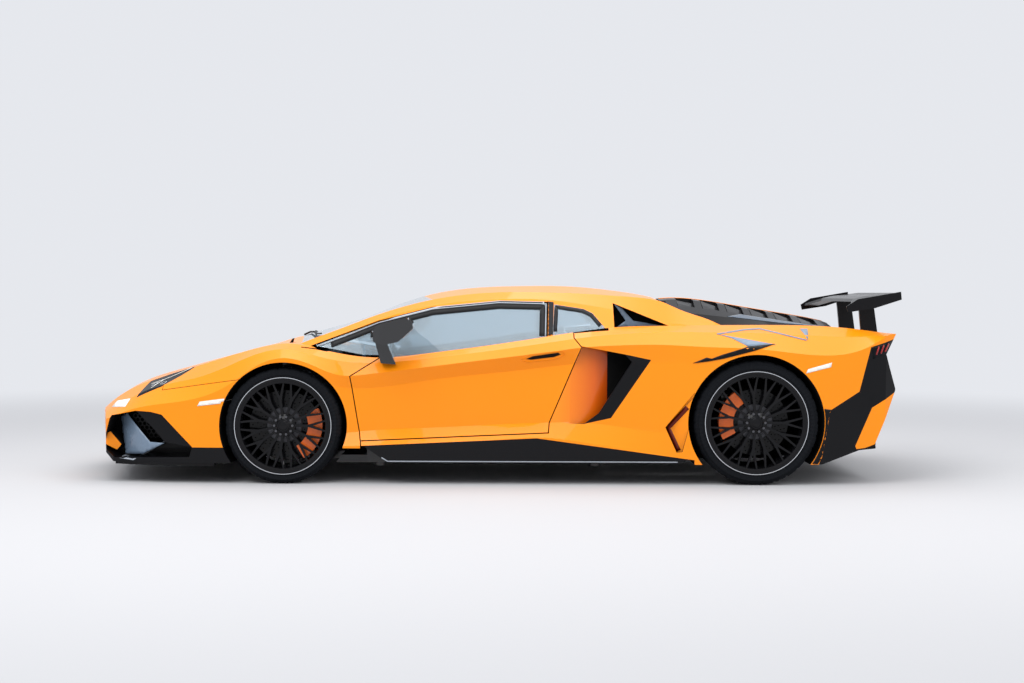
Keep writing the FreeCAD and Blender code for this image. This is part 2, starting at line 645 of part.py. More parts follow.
def make_caliper(end, middle):
    """Bridge round the disc's edge; middle is its angle from +X towards +Z in degrees."""
    disc = S["disc_radius_" + end]
    back = disc_face(end)
    inner = back + S["disc_thickness"]
    face = Part.Face(loop([V(r, y, 0) for r, y in (
        (disc - 62, back - 26), (disc + 20, back - 26), (disc + 20, inner + 26),
        (disc - 62, inner + 26), (disc - 62, inner + 6), (disc + 8, inner + 6),
        (disc + 8, back - 6), (disc - 62, back - 6))]))
    shape = face.revolve(V(0, 0, 0), V(0, 1, 0), 86)
    shape.rotate(V(0, 0, 0), V(0, 1, 0), -middle - 43)
    return shape


def make_upright(end, middle, height):
    """Bearing for the stub axle, a post, and the arm that holds the caliper."""
    y = disc_face(end) + S["disc_thickness"] + 6
    way = 1 if abs(middle) < 90 else -1
    ring = Part.makeCylinder(58, 44, V(0, y, 0), V(0, 1, 0))
    post = Part.makeBox(56, 34, height, V(-28, y, -height / 2))
    arm = Part.makeBox(S["disc_radius_" + end] - 20, 20, 60, V(0, y, -60 if way > 0 else 0))
    if way < 0:
        arm = arm.mirror(V(0, 0, 0), V(1, 0, 0))
    hole = Part.makeCylinder(S["axle_radius"] + S["axle_play"], 200, V(0, y - 20, 0), V(0, 1, 0))
    return ring.multiFuse([post, arm]).removeSplitter(), hole, y + 17


def make_knuckle():
    shape, hole, y = make_upright("front", -16, 206)
    pins = Part.makeCylinder(S["pin_radius"], 262, V(0, y, -131), V(0, 0, 1))
    bridge = make_caliper("front", -16)
    shape = shape.fuse(pins).cut(hole).cut(bridge).removeSplitter()
    move = V(FRONT_X, -S["front_track"] / 2, S["front_tyre_radius"])
    return shape.translated(move), bridge.translated(move), S["front_track"] / 2 - y


knuckle, caliper, king_y = make_knuckle()
for name, shape in (("knuckle", knuckle), ("caliper", caliper)):
    put(name + "_fl", shape)
    put(name + "_fr", mirrored(shape))


def make_front_arms():
    """Two A-arms a side, with eyes round the knuckle's pins."""
    shapes = [block(-1270, -1060, -430, -400, 180, 480)]
    for level in (-115, 115):
        centre = V(FRONT_X, -king_y, S["front_tyre_radius"] + level)
        eye = Part.makeCylinder(18, 20, centre - V(0, 0, 10), V(0, 0, 1))
        legs = [rod(centre, V(FRONT_X + dx, -415, centre.z), 9) for dx in (-75, 75)]
        hole = Part.makeCylinder(S["pin_radius"] + S["axle_play"], 60, centre - V(0, 0, 30),
                                 V(0, 0, 1))
        shapes.append(eye.multiFuse(legs).cut(hole))
    arms = shapes[0].multiFuse(shapes[1:])
    rack = block(-1150, -1110, -410, 410, 200, 250)
    return arms.multiFuse([mirrored(arms), rack]).cut(tub).removeSplitter()


def make_rear_side():
    """Upright, four arms and the subframe block they start from."""
    shape, hole, y = make_upright("rear", 165, 250)
    bridge = make_caliper("rear", 165)
    legs = [rod(V(0, y, level), V(dx, S["rear_track"] / 2 - 450, level), S["arm_radius"])
            for level in (-110, 110) for dx in (-170, 170)]
    shape = shape.multiFuse(legs).cut(hole).cut(bridge)
    move = V(REAR_X, -S["rear_track"] / 2, S["rear_tyre_radius"])
    shape = shape.translated(move).fuse(block(1330, 1740, -500, -420, 200, 500)).cut(tub)
    return largest(shape), bridge.translated(move)


put("front_wishbones", make_front_arms())
rear_side, rear_bridge = make_rear_side()
put("rear_suspension", pair(rear_side))
put("rear_calipers", pair(rear_bridge))

# Wing stations: y, front x, rear x, front z, rear z
WING = [(-770, 2096, 2395, 1007, 1083), (-500, 2168, 2412, 1046, 1092),
        (500, 2168, 2412, 1046, 1092), (770, 2096, 2395, 1007, 1083)]


def make_wing():
    """Plank with an upswept edge and end plates, on two posts that stand on the tail deck."""
    rows = []
    for y, x0, x1, z0, z1 in WING:
        rows.append(loop([at(x0, y, z0), at(x0 + 90, y, z0 + 2), at(x1, y, z1 - 10),
                          at(x1 + 4, y, z1 + 8), at(x1 - 20, y, z1), at(x0 + 80, y, z0 + 34),
                          at(x0 + 10, y, z0 + 18)]))
    plank = Part.makeLoft(rows, True, True)
    plates = [side_prism([(2092, 985), (2084, 1020), (2150, 1062), (2400, 1106), (2404, 1060),
                          (2250, 1010)], y, y + 10) for y in (-778, 768)]
    middle = S["post_spacing"] / 2
    thickness = S["post_thickness"] / 2
    outline = [(2266, 790), (2340, 790), (2358, 860), (2327, 1078), (2239, 1058)]
    posts = [side_prism(outline, side * middle - thickness, side * middle + thickness)
             for side in (-1, 1)]
    return plank.multiFuse(plates + posts).cut(body).removeSplitter()


put("wing", make_wing())

# Seat outlines in side view: the padded middle and the bolsters at its sides
SEAT = [(-340, 150), (60, 150), (235, 770), (170, 800), (120, 760), (20, 330), (-340, 285)]
BOLSTER = [(-330, 150), (80, 150), (215, 700), (110, 690), (-60, 400), (-320, 350)]


def make_seat():
    wings = [side_prism(BOLSTER, y, y + 60) for y in (-615, -245)]
    return side_prism(SEAT, -560, -240).multiFuse(wings).removeSplitter()


def make_dashboard():
    """Shelf under the screen, a binnacle hood, and the bore for the column."""
    shelf = side_prism([(-1195, 540), (-1195, 690), (-900, 742), (-800, 690), (-812, 640),
                        (-850, 540)], -700, 700)
    hood = side_prism([(-900, 700), (-840, 775), (-760, 768), (-752, 700), (-820, 640)],
                      -540, -260)
    console = side_prism([(-850, 395), (-850, 620), (-600, 400)], -120, 120)
    shape = shelf.multiFuse([hood, console])
    shape = shape.cut(rod(WHEEL_HUB, WHEEL_HUB + COLUMN * 320,
                          S["column_radius"] + S["axle_play"]))
    shape = shape.cut(fender).cut(mirrored(fender)).cut(tub).cut(front_wells)
    return largest(shape.removeSplitter())


def make_steering_wheel():
    radius = S["steering_wheel_radius"]
    ring = Part.makeTorus(radius, S["grip_radius"], WHEEL_HUB, COLUMN)
    column = rod(WHEEL_HUB - COLUMN * 14, WHEEL_HUB + COLUMN * 300, S["column_radius"])
    down = COLUMN.cross(V(0, 1, 0))
    if down.z > 0:
        down = down * -1
    spokes = [rod(WHEEL_HUB, WHEEL_HUB + way * radius, 11)
              for way in (V(0, 1, 0), V(0, -1, 0), down)]
    return ring.multiFuse([column] + spokes).removeSplitter()


COLUMN = V(-1, 0, -0.42).normalize()
WHEEL_HUB = at(-560, -400, 690)
put("seats", pair(make_seat()))
put("dashboard", make_dashboard())
put("steering_wheel", make_steering_wheel())


def make_splitter():
    """Black lower part of the nose, and the plate under it."""
    plate = plan_both([(-2330, 0), (-2150, 850), (-1900, 950), (-1560, 975), (-1560, 0)],
                      100, 118)
    return largest(valance.fuse(plate).removeSplitter().cut(nose_fin).cut(mirrored(nose_fin)))


def make_skirt():
    outline = [(-700, 215), (-564, 125), (1100, 125), (1150, 148), (283, 266), (-690, 221)]
    skirt = half_body.common(side_prism(outline, -1300, -905)).cut(front_well)
    return largest(skirt.cut(quarters))


def make_diffuser():
    fins = [side_prism([(1930, 150), (2290, 180), (2310, 420), (2235, 420), (2100, 200)],
                       y - 8, y + 8) for y in (-620, -400, -140, 140, 400, 620)]
    plate = side_prism([(1920, 140), (1920, 155), (2290, 195), (2290, 180)], -640, 640)
    return plate.multiFuse(fins).removeSplitter()


def make_exhaust():
    silencer = Part.makeBox(150, 600, 200, V(engine_end, -300, 420))
    radius = S["exhaust_radius"]
    pipes = [rod(V(engine_end + 130, y, 520), at(2340, y, 520), radius) for y in PIPE_Y]
    bores = [rod(V(engine_end + 190, y, 520), at(2400, y, 520), radius - 4) for y in PIPE_Y]
    return silencer.multiFuse(pipes).cut(bores[0]).cut(bores[1]).removeSplitter()


put("front_splitter", make_splitter())
put("undertray", block(-1240, 700, -800, 800, 106, 118).cut(front_wells))
put("side_skirts", pair(make_skirt()))
put("diffuser", make_diffuser())
put("exhaust", make_exhaust())

doc.recompute()
os.makedirs("parts", exist_ok=True)
NODES = [item for item in doc.Objects
         if item.TypeId in ("Part::Feature", "Part::Box", "PartDesign::Body")]
for item in NODES:
    shape = item.Shape
    if "Invalid" in item.State or "Error" in item.State or shape.isNull() or not shape.isValid():
        raise RuntimeError(item.Label + " did not build")
for item in NODES:
    item.Shape.exportStep("parts/%s.step" % item.Label)
    print(item.Label, len(item.Shape.Solids), round(item.Shape.Volume / 1e6, 2))
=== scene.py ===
import json
import math
from collections import namedtuple

import bmesh
import bpy
from mathutils import Matrix, Vector
from mathutils.bvhtree import BVHTree


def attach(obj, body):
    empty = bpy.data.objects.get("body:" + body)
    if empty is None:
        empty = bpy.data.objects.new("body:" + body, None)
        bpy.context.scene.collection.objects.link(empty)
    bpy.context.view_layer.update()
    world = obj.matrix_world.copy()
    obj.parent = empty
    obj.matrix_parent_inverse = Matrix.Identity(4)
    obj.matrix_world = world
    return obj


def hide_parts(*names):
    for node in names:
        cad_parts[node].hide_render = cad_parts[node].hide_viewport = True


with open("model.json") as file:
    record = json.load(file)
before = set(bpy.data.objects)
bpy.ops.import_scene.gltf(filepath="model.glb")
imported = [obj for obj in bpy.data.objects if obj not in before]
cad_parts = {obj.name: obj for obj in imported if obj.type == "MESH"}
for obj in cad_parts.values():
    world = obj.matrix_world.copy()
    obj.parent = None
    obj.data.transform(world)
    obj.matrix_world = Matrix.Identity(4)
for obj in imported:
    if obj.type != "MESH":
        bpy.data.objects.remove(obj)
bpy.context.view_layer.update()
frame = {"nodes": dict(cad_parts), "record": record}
NODES = frame["nodes"]
SLOTS = {part["node"]: part["material_slot"] for part in frame["record"]["subparts"]}

# Camera, from the photograph: where it stood, in metres, and how it was held
CAMERA_PLACE = (0.1405, -10.5, 1.093)
CAMERA_PITCH = math.radians(1.667)
CAMERA_ROLL = math.radians(0.17)
CAMERA_LENS = 58.82

# Sides: word, sign of y, body of the door
SIDES = (("left", -1, "door_l"), ("right", 1, "door_r"))

# Axles in metres: x, half the track, tyre radius and width, then radii of rim, disc and arch
Axle = namedtuple("Axle", "word x half_track radius width rim disc arch")
AXLES = (Axle("front", -1.165, 0.860, 0.3305, 0.255, 0.262, 0.200, 0.363),
         Axle("rear", 1.535, 0.825, 0.3555, 0.355, 0.280, 0.190, 0.390))


def wheels():
    """Each wheel's letters, body, sign of y, centre and axle."""
    for axle in AXLES:
        for word, side, _ in SIDES:
            centre = (axle.x, side * axle.half_track, axle.radius)
            yield axle.word[0] + word[0], "wheel_%s_%s" % (axle.word, word), side, centre, axle


# Materials

ORANGE = (0.92, 0.26, 0.003)
# Where along the car, in metres, the scoops' orange starts to turn dark with painted shade, and
# where it ends
FADE = (0.40, 0.88)
TYRE_RIBS = 90


def new_material(name):
    """A node material and its Principled shader."""
    material = bpy.data.materials.new(name)
    material.use_nodes = True
    shader = material.node_tree.nodes["Principled BSDF"]
    return material, shader


def plain(name, colour, roughness=0.5, metallic=0.0, coat=0.0, specular=0.2):
    """Material of one colour, and its shader."""
    material, shader = new_material(name)
    shader.inputs["Base Color"].default_value = (*colour, 1)
    shader.inputs["Specular IOR Level"].default_value = specular
    shader.inputs["Roughness"].default_value = roughness
    shader.inputs["Metallic"].default_value = metallic
    shader.inputs["Coat Weight"].default_value = coat
    shader.inputs["Coat Roughness"].default_value = 0.02
    return material, shader


def object_place(tree):
    return tree.nodes.new("ShaderNodeTexCoord").outputs["Object"]


def object_axes(tree):
    """The X, Y and Z of a point in its object."""
    apart = tree.nodes.new("ShaderNodeSeparateXYZ")
    tree.links.new(object_place(tree), apart.inputs["Vector"])
    return apart.outputs


def maths(tree, operation, *values):
    """Output of a Math node; each value is another node's output or a number."""
    node = tree.nodes.new("ShaderNodeMath")
    node.operation = operation
    for entry, value in zip(node.inputs, values):
        if isinstance(value, bpy.types.NodeSocket):
            tree.links.new(value, entry)
        else:
            entry.default_value = value
    return node.outputs["Value"]


def bump(tree, shader, height, strength, distance):
    node = tree.nodes.new("ShaderNodeBump")
    node.inputs["Strength"].default_value = strength
    node.inputs["Distance"].default_value = distance
    tree.links.new(height, node.inputs["Height"])
    tree.links.new(node.outputs["Normal"], shader.inputs["Normal"])


def grain(material, shader, scale, depth=0.0, low=0.0, high=0.0, colours=None):
    """Noise in the surface: a little bump, roughness between low and high, and two colours."""
    tree = material.node_tree
    noise = tree.nodes.new("ShaderNodeTexNoise")
    noise.inputs["Scale"].default_value = scale
    noise.inputs["Detail"].default_value = 3
    tree.links.new(object_place(tree), noise.inputs["Vector"])
    if depth:
        bump(tree, shader, noise.outputs["Fac"], 0.4, depth)
    if high:
        spread = tree.nodes.new("ShaderNodeMapRange")
        spread.inputs["To Min"].default_value = low
        spread.inputs["To Max"].default_value = high
        tree.links.new(noise.outputs["Fac"], spread.inputs["Value"])
        tree.links.new(spread.outputs["Result"], shader.inputs["Roughness"])
    if colours:
        mix = tree.nodes.new("ShaderNodeMix")
        mix.data_type = "RGBA"
        mix.inputs["A"].default_value = (*colours[0], 1)
        mix.inputs["B"].default_value = (*colours[1], 1)
        tree.links.new(noise.outputs["Fac"], mix.inputs["Factor"])
        tree.links.new(mix.outputs["Result"], shader.inputs["Base Color"])


def paint():
    """Pearl orange under clear coat: fine flakes in two oranges."""
    material, shader = plain("body paint", ORANGE, 0.36, coat=0.3, specular=0.12)
    grain(material, shader, 1800, colours=((0.89, 0.24, 0.002), (0.95, 0.285, 0.004)))
    return material


def scoop_shade_paint():
    """The same orange, which runs into painted shade, dark red then black, towards the rear of the
    side scoops.
    """
    material, shader = plain("scoop paint and painted shade", ORANGE, 0.36, coat=0.6)
    tree = material.node_tree
    spread = tree.nodes.new("ShaderNodeMapRange")
    spread.inputs["From Min"].default_value, spread.inputs["From Max"].default_value = FADE
    ramp = tree.nodes.new("ShaderNodeValToRGB")
    stops = ramp.color_ramp.elements
    stops[0].color = (*ORANGE, 1)
    stops[1].color = (0.01, 0.001, 0.001, 1)
    for at, colour in ((0.45, (0.80, 0.13, 0.002, 1)), (0.72, (0.30, 0.012, 0.002, 1))):
        stops.new(at).color = colour
    tree.links.new(object_axes(tree)["X"], spread.inputs["Value"])
    tree.links.new(spread.outputs["Result"], ramp.inputs["Fac"])
    tree.links.new(ramp.outputs["Color"], shader.inputs["Base Color"])
    return material


def gloss(name, colour, roughness=0.2, coat=0.6, specular=0.2):
    """Lacquered surface, a little uneven in colour."""
    material, shader = plain(name, colour, roughness, coat=coat, specular=specular)
    low = tuple(0.85 * c for c in colour)
    high = tuple(1.15 * c for c in colour)
    grain(material, shader, 60, colours=(low, high))
    return material


def matt(name, colour, roughness=0.6, depth=0.0006, scale=220):
    material, shader = plain(name, colour, roughness)
    grain(material, shader, scale, depth, roughness - 0.1, roughness + 0.1)
    return material


def metal(name, colour, roughness=0.45):
    material, shader = plain(name, colour, roughness, metallic=0.9)
    grain(material, shader, 150, 0.0006, roughness - 0.1, roughness + 0.1)
    return material


def weave(name, colour, size):
    """Carbon cloth under lacquer: light and dark cubes of one size, in metres."""
    material, shader = plain(name, colour, 0.35, coat=0.5)
    tree = material.node_tree
    check = tree.nodes.new("ShaderNodeTexChecker")
    check.inputs["Scale"].default_value = 1 / size
    check.inputs["Color1"].default_value = (*(0.6 * c for c in colour), 1)
    check.inputs["Color2"].default_value = (*(1.6 * c for c in colour), 1)
    tree.links.new(object_place(tree), check.inputs["Vector"])
    tree.links.new(check.outputs["Color"], shader.inputs["Base Color"])
    return material


def clear(name, colour, weight):
    """Tinted pane that lets through a part of the light."""
    material, shader = plain(name, colour, 0.0)
    shader.inputs["Transmission Weight"].default_value = weight
    shader.inputs["IOR"].default_value = 1.5
    low = tuple(0.97 * c for c in colour)
    grain(material, shader, 2, colours=(low, colour))
    return material


def leather(name, colour):
    material, shader = plain(name, colour, 0.5)
    grain(material, shader, 500, 0.001, 0.42, 0.6)
    return material


def glow(name, colour, strength):
    material, shader = plain(name, colour, 0.25)
    shader.inputs["Emission Color"].default_value = (*colour, 1)
    shader.inputs["Emission Strength"].default_value = strength
    grain(material, shader, 300, low=0.2, high=0.3)
    return material


def tread_rubber():
    """Rubber with fine cross ribs, from the angle about the wheel's axis."""
    material, shader = plain("tyre rubber", (0.007, 0.008, 0.010), 0.62, specular=0.06)
    tree = material.node_tree
    axes = object_axes(tree)
    angle = maths(tree, "ARCTAN2", axes["Z"], axes["X"])
    wave = maths(tree, "SINE", maths(tree, "MULTIPLY", angle, TYRE_RIBS))
    bump(tree, shader, wave, 0.5, 0.001)
    return material


PAINT = paint()
SCOOP_SHADE_PAINT = scoop_shade_paint()
# Dark red for painted shade in the pockets before the rear wheels
POCKET_SHADE_RED = gloss("pocket painted shade", (0.12, 0.008, 0.002), 0.4, 0.1)
BLACK = gloss("black gloss", (0.004, 0.004, 0.005), 0.28, 0.15, 0.1)
MIRROR_BLACK = gloss("mirror black", (0.006, 0.006, 0.007), 0.1, 0.9, 0.4)
SATIN = matt("black satin", (0.006, 0.006, 0.007), 0.5)
# Near-black for the wheel wells' liners, and painted shade on hidden faces, in recesses, holes and
# openings
SHADE_AND_LINER_BLACK = matt("black liner and painted shade", (0.003, 0.003, 0.003), 0.9)
CARBON = weave("lacquered carbon", (0.016, 0.016, 0.017), 0.004)
GLASS = clear("tinted glass", (0.50, 0.62, 0.70), 0.72)
DARK_GLASS = gloss("dark glass", (0.004, 0.005, 0.007), 0.12, 0.0, 0.1)
RUBBER = tread_rubber()
WHEEL = gloss("wheel black", (0.004, 0.004, 0.005), 0.22, 0.2, 0.1)
CAST = metal("cast alloy", (0.35, 0.35, 0.36))
DARK_CAST = metal("dark casting", (0.10, 0.10, 0.11))
STEEL = metal("exhaust steel", (0.42, 0.40, 0.38), 0.3)
BRIGHT = metal("bright trim", (0.62, 0.64, 0.67), 0.25)
CALIPER = gloss("caliper paint", (0.95, 0.16, 0.01), 0.3)
LEATHER = leather("black leather", (0.022, 0.022, 0.024))
STITCH = leather("orange leather", (0.75, 0.17, 0.01))
CLOTH = matt("black microfibre", (0.03, 0.03, 0.032), 0.85, 0.001, 900)
RED_LENS = gloss("red lens", (0.30, 0.005, 0.005), 0.12)
WHITE_LENS = glow("white lens", (0.76, 0.73, 0.68), 0.1)
# Pale blue grey for painted highlights along edges
PALE_HIGHLIGHT = gloss("painted edge highlight", (0.30, 0.33, 0.37), 0.3)
STEEL_BLUE = gloss("grey blue trim", (0.16, 0.22, 0.30), 0.3)
BLUE_BLACK = gloss("blue black trim", (0.05, 0.08, 0.12), 0.25)
SCREEN = glow("screen", (0.02, 0.05, 0.09), 0.4)
BLANK = matt("blank plate", (0.80, 0.80, 0.78), 0.5)

SLOT_MATERIALS = {
    "body_paint": PAINT,
    "black_trim": BLACK,
    "glass_clear": GLASS,
    "lamp_cover": DARK_GLASS,
    "lamp_red": RED_LENS,
    "caliper_paint": CALIPER,
    "tyre_rubber": RUBBER,
    "wheel_black": WHEEL,
    "knuckle_metal": CAST,
    "carbon_tub": CARBON,
    "engine_metal": DARK_CAST,
    "exhaust_steel": STEEL,
    "seat_leather": LEATHER,
    "dash_trim": LEATHER,
}

# Painted nodes whose hidden faces are lined black, partly as real liners and partly as painted
# shade
LINED = ["front_bumper", "front_fenders", "rear_quarters", "roof", "door_left", "door_right",
         "bonnet", "rear_fins"]
# Starts of the names of nodes that hide nothing behind them
SEEN_PAST = ("tyre", "wheel", "caliper", "knuckle", "door_glass", "side_w", "wind", "wing",
             "mirror")
OUTWARD = [Vector(way) for way in ((0, -1, 0), (0, 1, 0), (0, 0, 1), (-1, 0, 0), (1, 0, 0))]
# Places of the two added materials in a painted node
LINER_AND_SHADE, SCOOP_SHADE_SKIN = 1, 2
# Half width inside which the faces round a wheel belong to its well, in metres
WELL = 0.985
# Room behind the front intakes: its rear x, half width and top, in metres
POCKET = (-1.6, 0.645, 0.42)


def dress_nodes():
    for name, node in NODES.items():
        node.data.materials.clear()
        node.data.materials.append(SLOT_MATERIALS[SLOTS[name]])
    for name in ("mirror_left", "mirror_right"):
        NODES[name].data.materials[0] = MIRROR_BLACK


def line_and_shade_hidden_faces():
    """Black liners and painted shade on painted faces that no line from outside meets, and painted
    shade fading the scoops' orange.
    """
    tree = skin_of(*[name for name in NODES if not name.startswith(SEEN_PAST)])
    for name in LINED:
        mesh = NODES[name].data
        mesh.materials.append(SHADE_AND_LINER_BLACK)
        mesh.materials.append(SCOOP_SHADE_PAINT)
        planes = {}
        for face in mesh.polygons:
            key = (*(round(c, 2) for c in face.normal), round(face.normal.dot(face.center), 3))
            planes.setdefault(key, []).append(face)
        for faces in planes.values():
            seen = sum(face.area for face in faces if meets_light(tree, face))
            hidden = seen < 0.5 * sum(face.area for face in faces)
            for face in faces:
                middle = (1000 * face.center.x, 1000 * face.center.z)
                # Faces that no light meets, and the wheel wells, get black: liners and painted
                # shade
                if hidden or in_well(face.center):
                    face.material_index = LINER_AND_SHADE
                elif name == "rear_quarters" and inside(middle, SCOOP):
                    face.material_index = SCOOP_SHADE_SKIN


def in_well(point):
    """Whether a point stands inside a wheel arch or on its wall."""
    return abs(point.y) < WELL and any(
        math.hypot(point.x - axle.x, point.z - axle.radius) < axle.arch + 0.002
        for axle in AXLES)


def meets_light(tree, face):
    """Whether a line along an axis meets a face from outside; walls behind the intakes don't."""
    start = face.center + 0.002 * face.normal
    rear, half, top = POCKET
    behind_intake = start.x < rear and abs(start.y) < half and start.z < top
    if behind_intake and abs(face.normal.y) > 0.7:
        return False
    return any(face.normal.dot(way) > 0.12 and tree.ray_cast(start, way)[0] is None
               for way in OUTWARD)


# Pieces

# Thin panels, in metres: how far off the skin they lie, and how thick they are
LIFT, SHEET = 0.0012, 0.0016
# Longest step of a ribbon along its path, in metres
RIBBON_STEP = 0.02
# Where search lines start: y beside the car, z above it and x beyond its ends
BESIDE, ABOVE, BEYOND = 1.4, 1.6, 3


def add_piece(name, mesh, material, body="car", smooth=False):
    piece = bpy.data.objects.new(name, mesh)
    bpy.context.scene.collection.objects.link(piece)
    if not mesh.materials:
        mesh.materials.append(material)
    for face in mesh.polygons:
        face.use_smooth = smooth
    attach(piece, body)
    return piece


def from_bmesh(name, shape, material, body="car", smooth=False):
    bmesh.ops.recalc_face_normals(shape, faces=shape.faces)
    mesh = bpy.data.meshes.new(name)
    shape.to_mesh(mesh)
    shape.free()
    return add_piece(name, mesh, material, body, smooth)


def skin_of(*names):
    """Search tree over the surfaces of some nodes."""
    points, faces = [], []
    for name in names:
        mesh = NODES[name].data
        start = len(points)
        points += [vertex.co.copy() for vertex in mesh.vertices]
        faces += [[start + i for i in face.vertices] for face in mesh.polygons]
    return BVHTree.FromPolygons(points, faces)


def side_finder(tree, side):
    """Where a line across the car from outside meets the surface at (x, z)."""
    def find(x, z):
        return tree.ray_cast(Vector((x, side * BESIDE, z)), Vector((0, -side, 0)))[:2]
    return find


def top_finder(tree):
    """Where a line down from above meets the surface at (x, y)."""
    def find(x, y):
        return tree.ray_cast(Vector((x, y, ABOVE)), Vector((0, 0, -1)))[:2]
    return find


def end_finder(tree, way):
    """Where a line along the car from beyond one end meets the surface at (y, z)."""
    def find(y, z):
        return tree.ray_cast(Vector((way * BEYOND, y, z)), Vector((-way, 0, 0)))[:2]
    return find


def hung(find, side, z=0.45, inward=0.014):
    """Sheet that hangs down inside the skin, from where the skin is at one height."""
    def place(x, height):
        hit, normal = find(x, z)
        return Vector((x, hit.y - side * inward, height)), normal
    return place


def plane_across(y, side):
    def find(x, z):
        return Vector((x, y, z)), Vector((0, side, 0))
    return find


def inside(point, outline):
    x, z = point
    hit = False
    for (x0, z0), (x1, z1) in zip(outline, outline[1:] + outline[:1]):
        if (z0 > z) != (z1 > z) and x < x0 + (z - z0) * (x1 - x0) / (z1 - z0):
            hit = not hit
    return hit


def laid(shape, find, lift):
    """Moves the flat (a, b) points of a bmesh onto the surface; faces that miss it go."""
    lost = []
    for vertex in shape.verts:
        hit, normal = find(vertex.co.x, vertex.co.y)
        if hit is None:
            lost.append(vertex)
        else:
            vertex.co = hit + lift * normal
    bmesh.ops.delete(shape, geom=lost, context="VERTS")


def thicken(piece, thickness):
    modifier = piece.modifiers.new("thickness", "SOLIDIFY")
    modifier.thickness = thickness
    modifier.offset = 0
    return piece


def bevel(piece, width, segments=2):
    modifier = piece.modifiers.new("edge", "BEVEL")
    modifier.width = width
    modifier.segments = segments


def circle(count, radius, tall=None):
    """Points (a, b) round a circle, or round an oval with another half height."""
    turns = [2 * math.pi * k / count for k in range(count)]
    return [(radius * math.cos(t), (tall or radius) * math.sin(t)) for t in turns]


def join_rings(shape, rings):
    """Faces between each ring of vertices and the next."""
    for ring, after in zip(rings, rings[1:]):
        for k in range(len(ring)):
            shape.faces.new((ring[k], ring[k - 1], after[k - 1], after[k]))


def close_rings(shape, rings):
    """Faces over both ends and between the rings."""
    shape.faces.new(rings[0])
    shape.faces.new(rings[-1][::-1])
    join_rings(shape, rings)


def decal(name, find, outline, material, body="car", lift=LIFT, thick=SHEET,
          cell=0.025):
    """Thin panel with a flat outline in mm, cut into small cells and laid on a surface."""
    shape = bmesh.new()
    verts = [shape.verts.new((a / 1000, b / 1000, 0)) for a, b in outline]
    shape.faces.new(verts)
    bmesh.ops.triangulate(shape, faces=shape.faces)
    for _ in range(5):
        long = [edge for edge in shape.edges if edge.calc_length() > cell]
        if not long:
            break
        bmesh.ops.subdivide_edges(shape, edges=long, cuts=1)
        bmesh.ops.triangulate(shape, faces=shape.faces)
    laid(shape, find, lift)
    return thicken(from_bmesh(name, shape, material, body, True), thick)


def ribbon(name, find, path, width, material, body="car", lift=LIFT, closed=False,
           thick=SHEET):
    """Thin strip of one width along a path in mm, laid on a surface."""
    points = [Vector((a / 1000, b / 1000)) for a, b in path]
    if closed:
        points.append(points[0])
    rows = []
    for start, end in zip(points, points[1:]):
        count = max(1, round((end - start).length / RIBBON_STEP))
        for j in range(count):
            rows.append(start.lerp(end, j / count))
    rows.append(points[-1])
    shape = bmesh.new()
    pairs = []
    for i, point in enumerate(rows):
        before = rows[i - 1] if i else (rows[-2] if closed else point)
        after = rows[i + 1] if i + 1 < len(rows) else (rows[1] if closed else point)
        along = (after - before).normalized()
        across = Vector((-along.y, along.x)) * (width / 2000)
        pairs.append([shape.verts.new((*(point + way * across), 0)) for way in (-1, 1)])
    for (a, b), (c, d) in zip(pairs, pairs[1:]):
        shape.faces.new((a, b, d, c))
    laid(shape, find, lift)
    return thicken(from_bmesh(name, shape, material, body, True), thick)


def inset(path, width, closed=False):
    """Path moved to its right-hand side by a width in mm, with mitred corners."""
    points = [Vector(p) for p in path]
    steps = [(b - a).normalized() for a, b in zip(points, points[1:] + points[:1])]
    sides = [Vector((step.y, -step.x)) for step in steps]
    moved = []
    for i, point in enumerate(points):
        pair = [sides[i - 1], sides[i]]
        if not closed and i in (0, len(points) - 1):
            pair = [sides[0] if i == 0 else sides[-2]]
        corner = sum(pair, Vector((0, 0))).normalized()
        moved.append(tuple(point + corner * (width / corner.dot(pair[0]))))
    return moved


def hex_mesh(name, find, outline, cell, material=SATIN):
    """Grille of six-sided cells that fills an outline in mm."""
    shape = bmesh.new()
    lows = [min(p[k] for p in outline) for k in (0, 1)]
    highs = [max(p[k] for p in outline) for k in (0, 1)]
    pitch = 1.732 * cell
    row, b = 0, lows[1]
    while b < highs[1]:
        a = lows[0] + (pitch / 2 if row % 2 else 0)
        while a < highs[0]:
            if inside((a, b), outline):
                join_rings(shape, [[shape.verts.new(((a + x) / 1000, (b + z) / 1000, 0))
                                    for z, x in circle(6, size)]
                                   for size in (cell, 0.78 * cell)])
            a += pitch
        b += cell * 1.5
        row += 1
    laid(shape, find, 0)
    return thicken(from_bmesh(name, shape, material), 0.003)


def tube(name, points, radius, material, body="car"):
    """Round bar along points in metres."""
    curve = bpy.data.curves.new(name, "CURVE")
    curve.dimensions = "3D"
    curve.bevel_depth = radius
    curve.bevel_resolution = 2
    curve.use_fill_caps = True
    line = curve.splines.new("POLY")
    line.points.add(len(points) - 1)
    for point, place in zip(line.points, points):
        point.co = (*place, 1)
    holder = bpy.data.objects.new(name, curve)
    mesh = bpy.data.meshes.new_from_object(holder)
    bpy.data.objects.remove(holder)
    mesh.materials.clear()
    return add_piece(name, mesh, material, body, True)


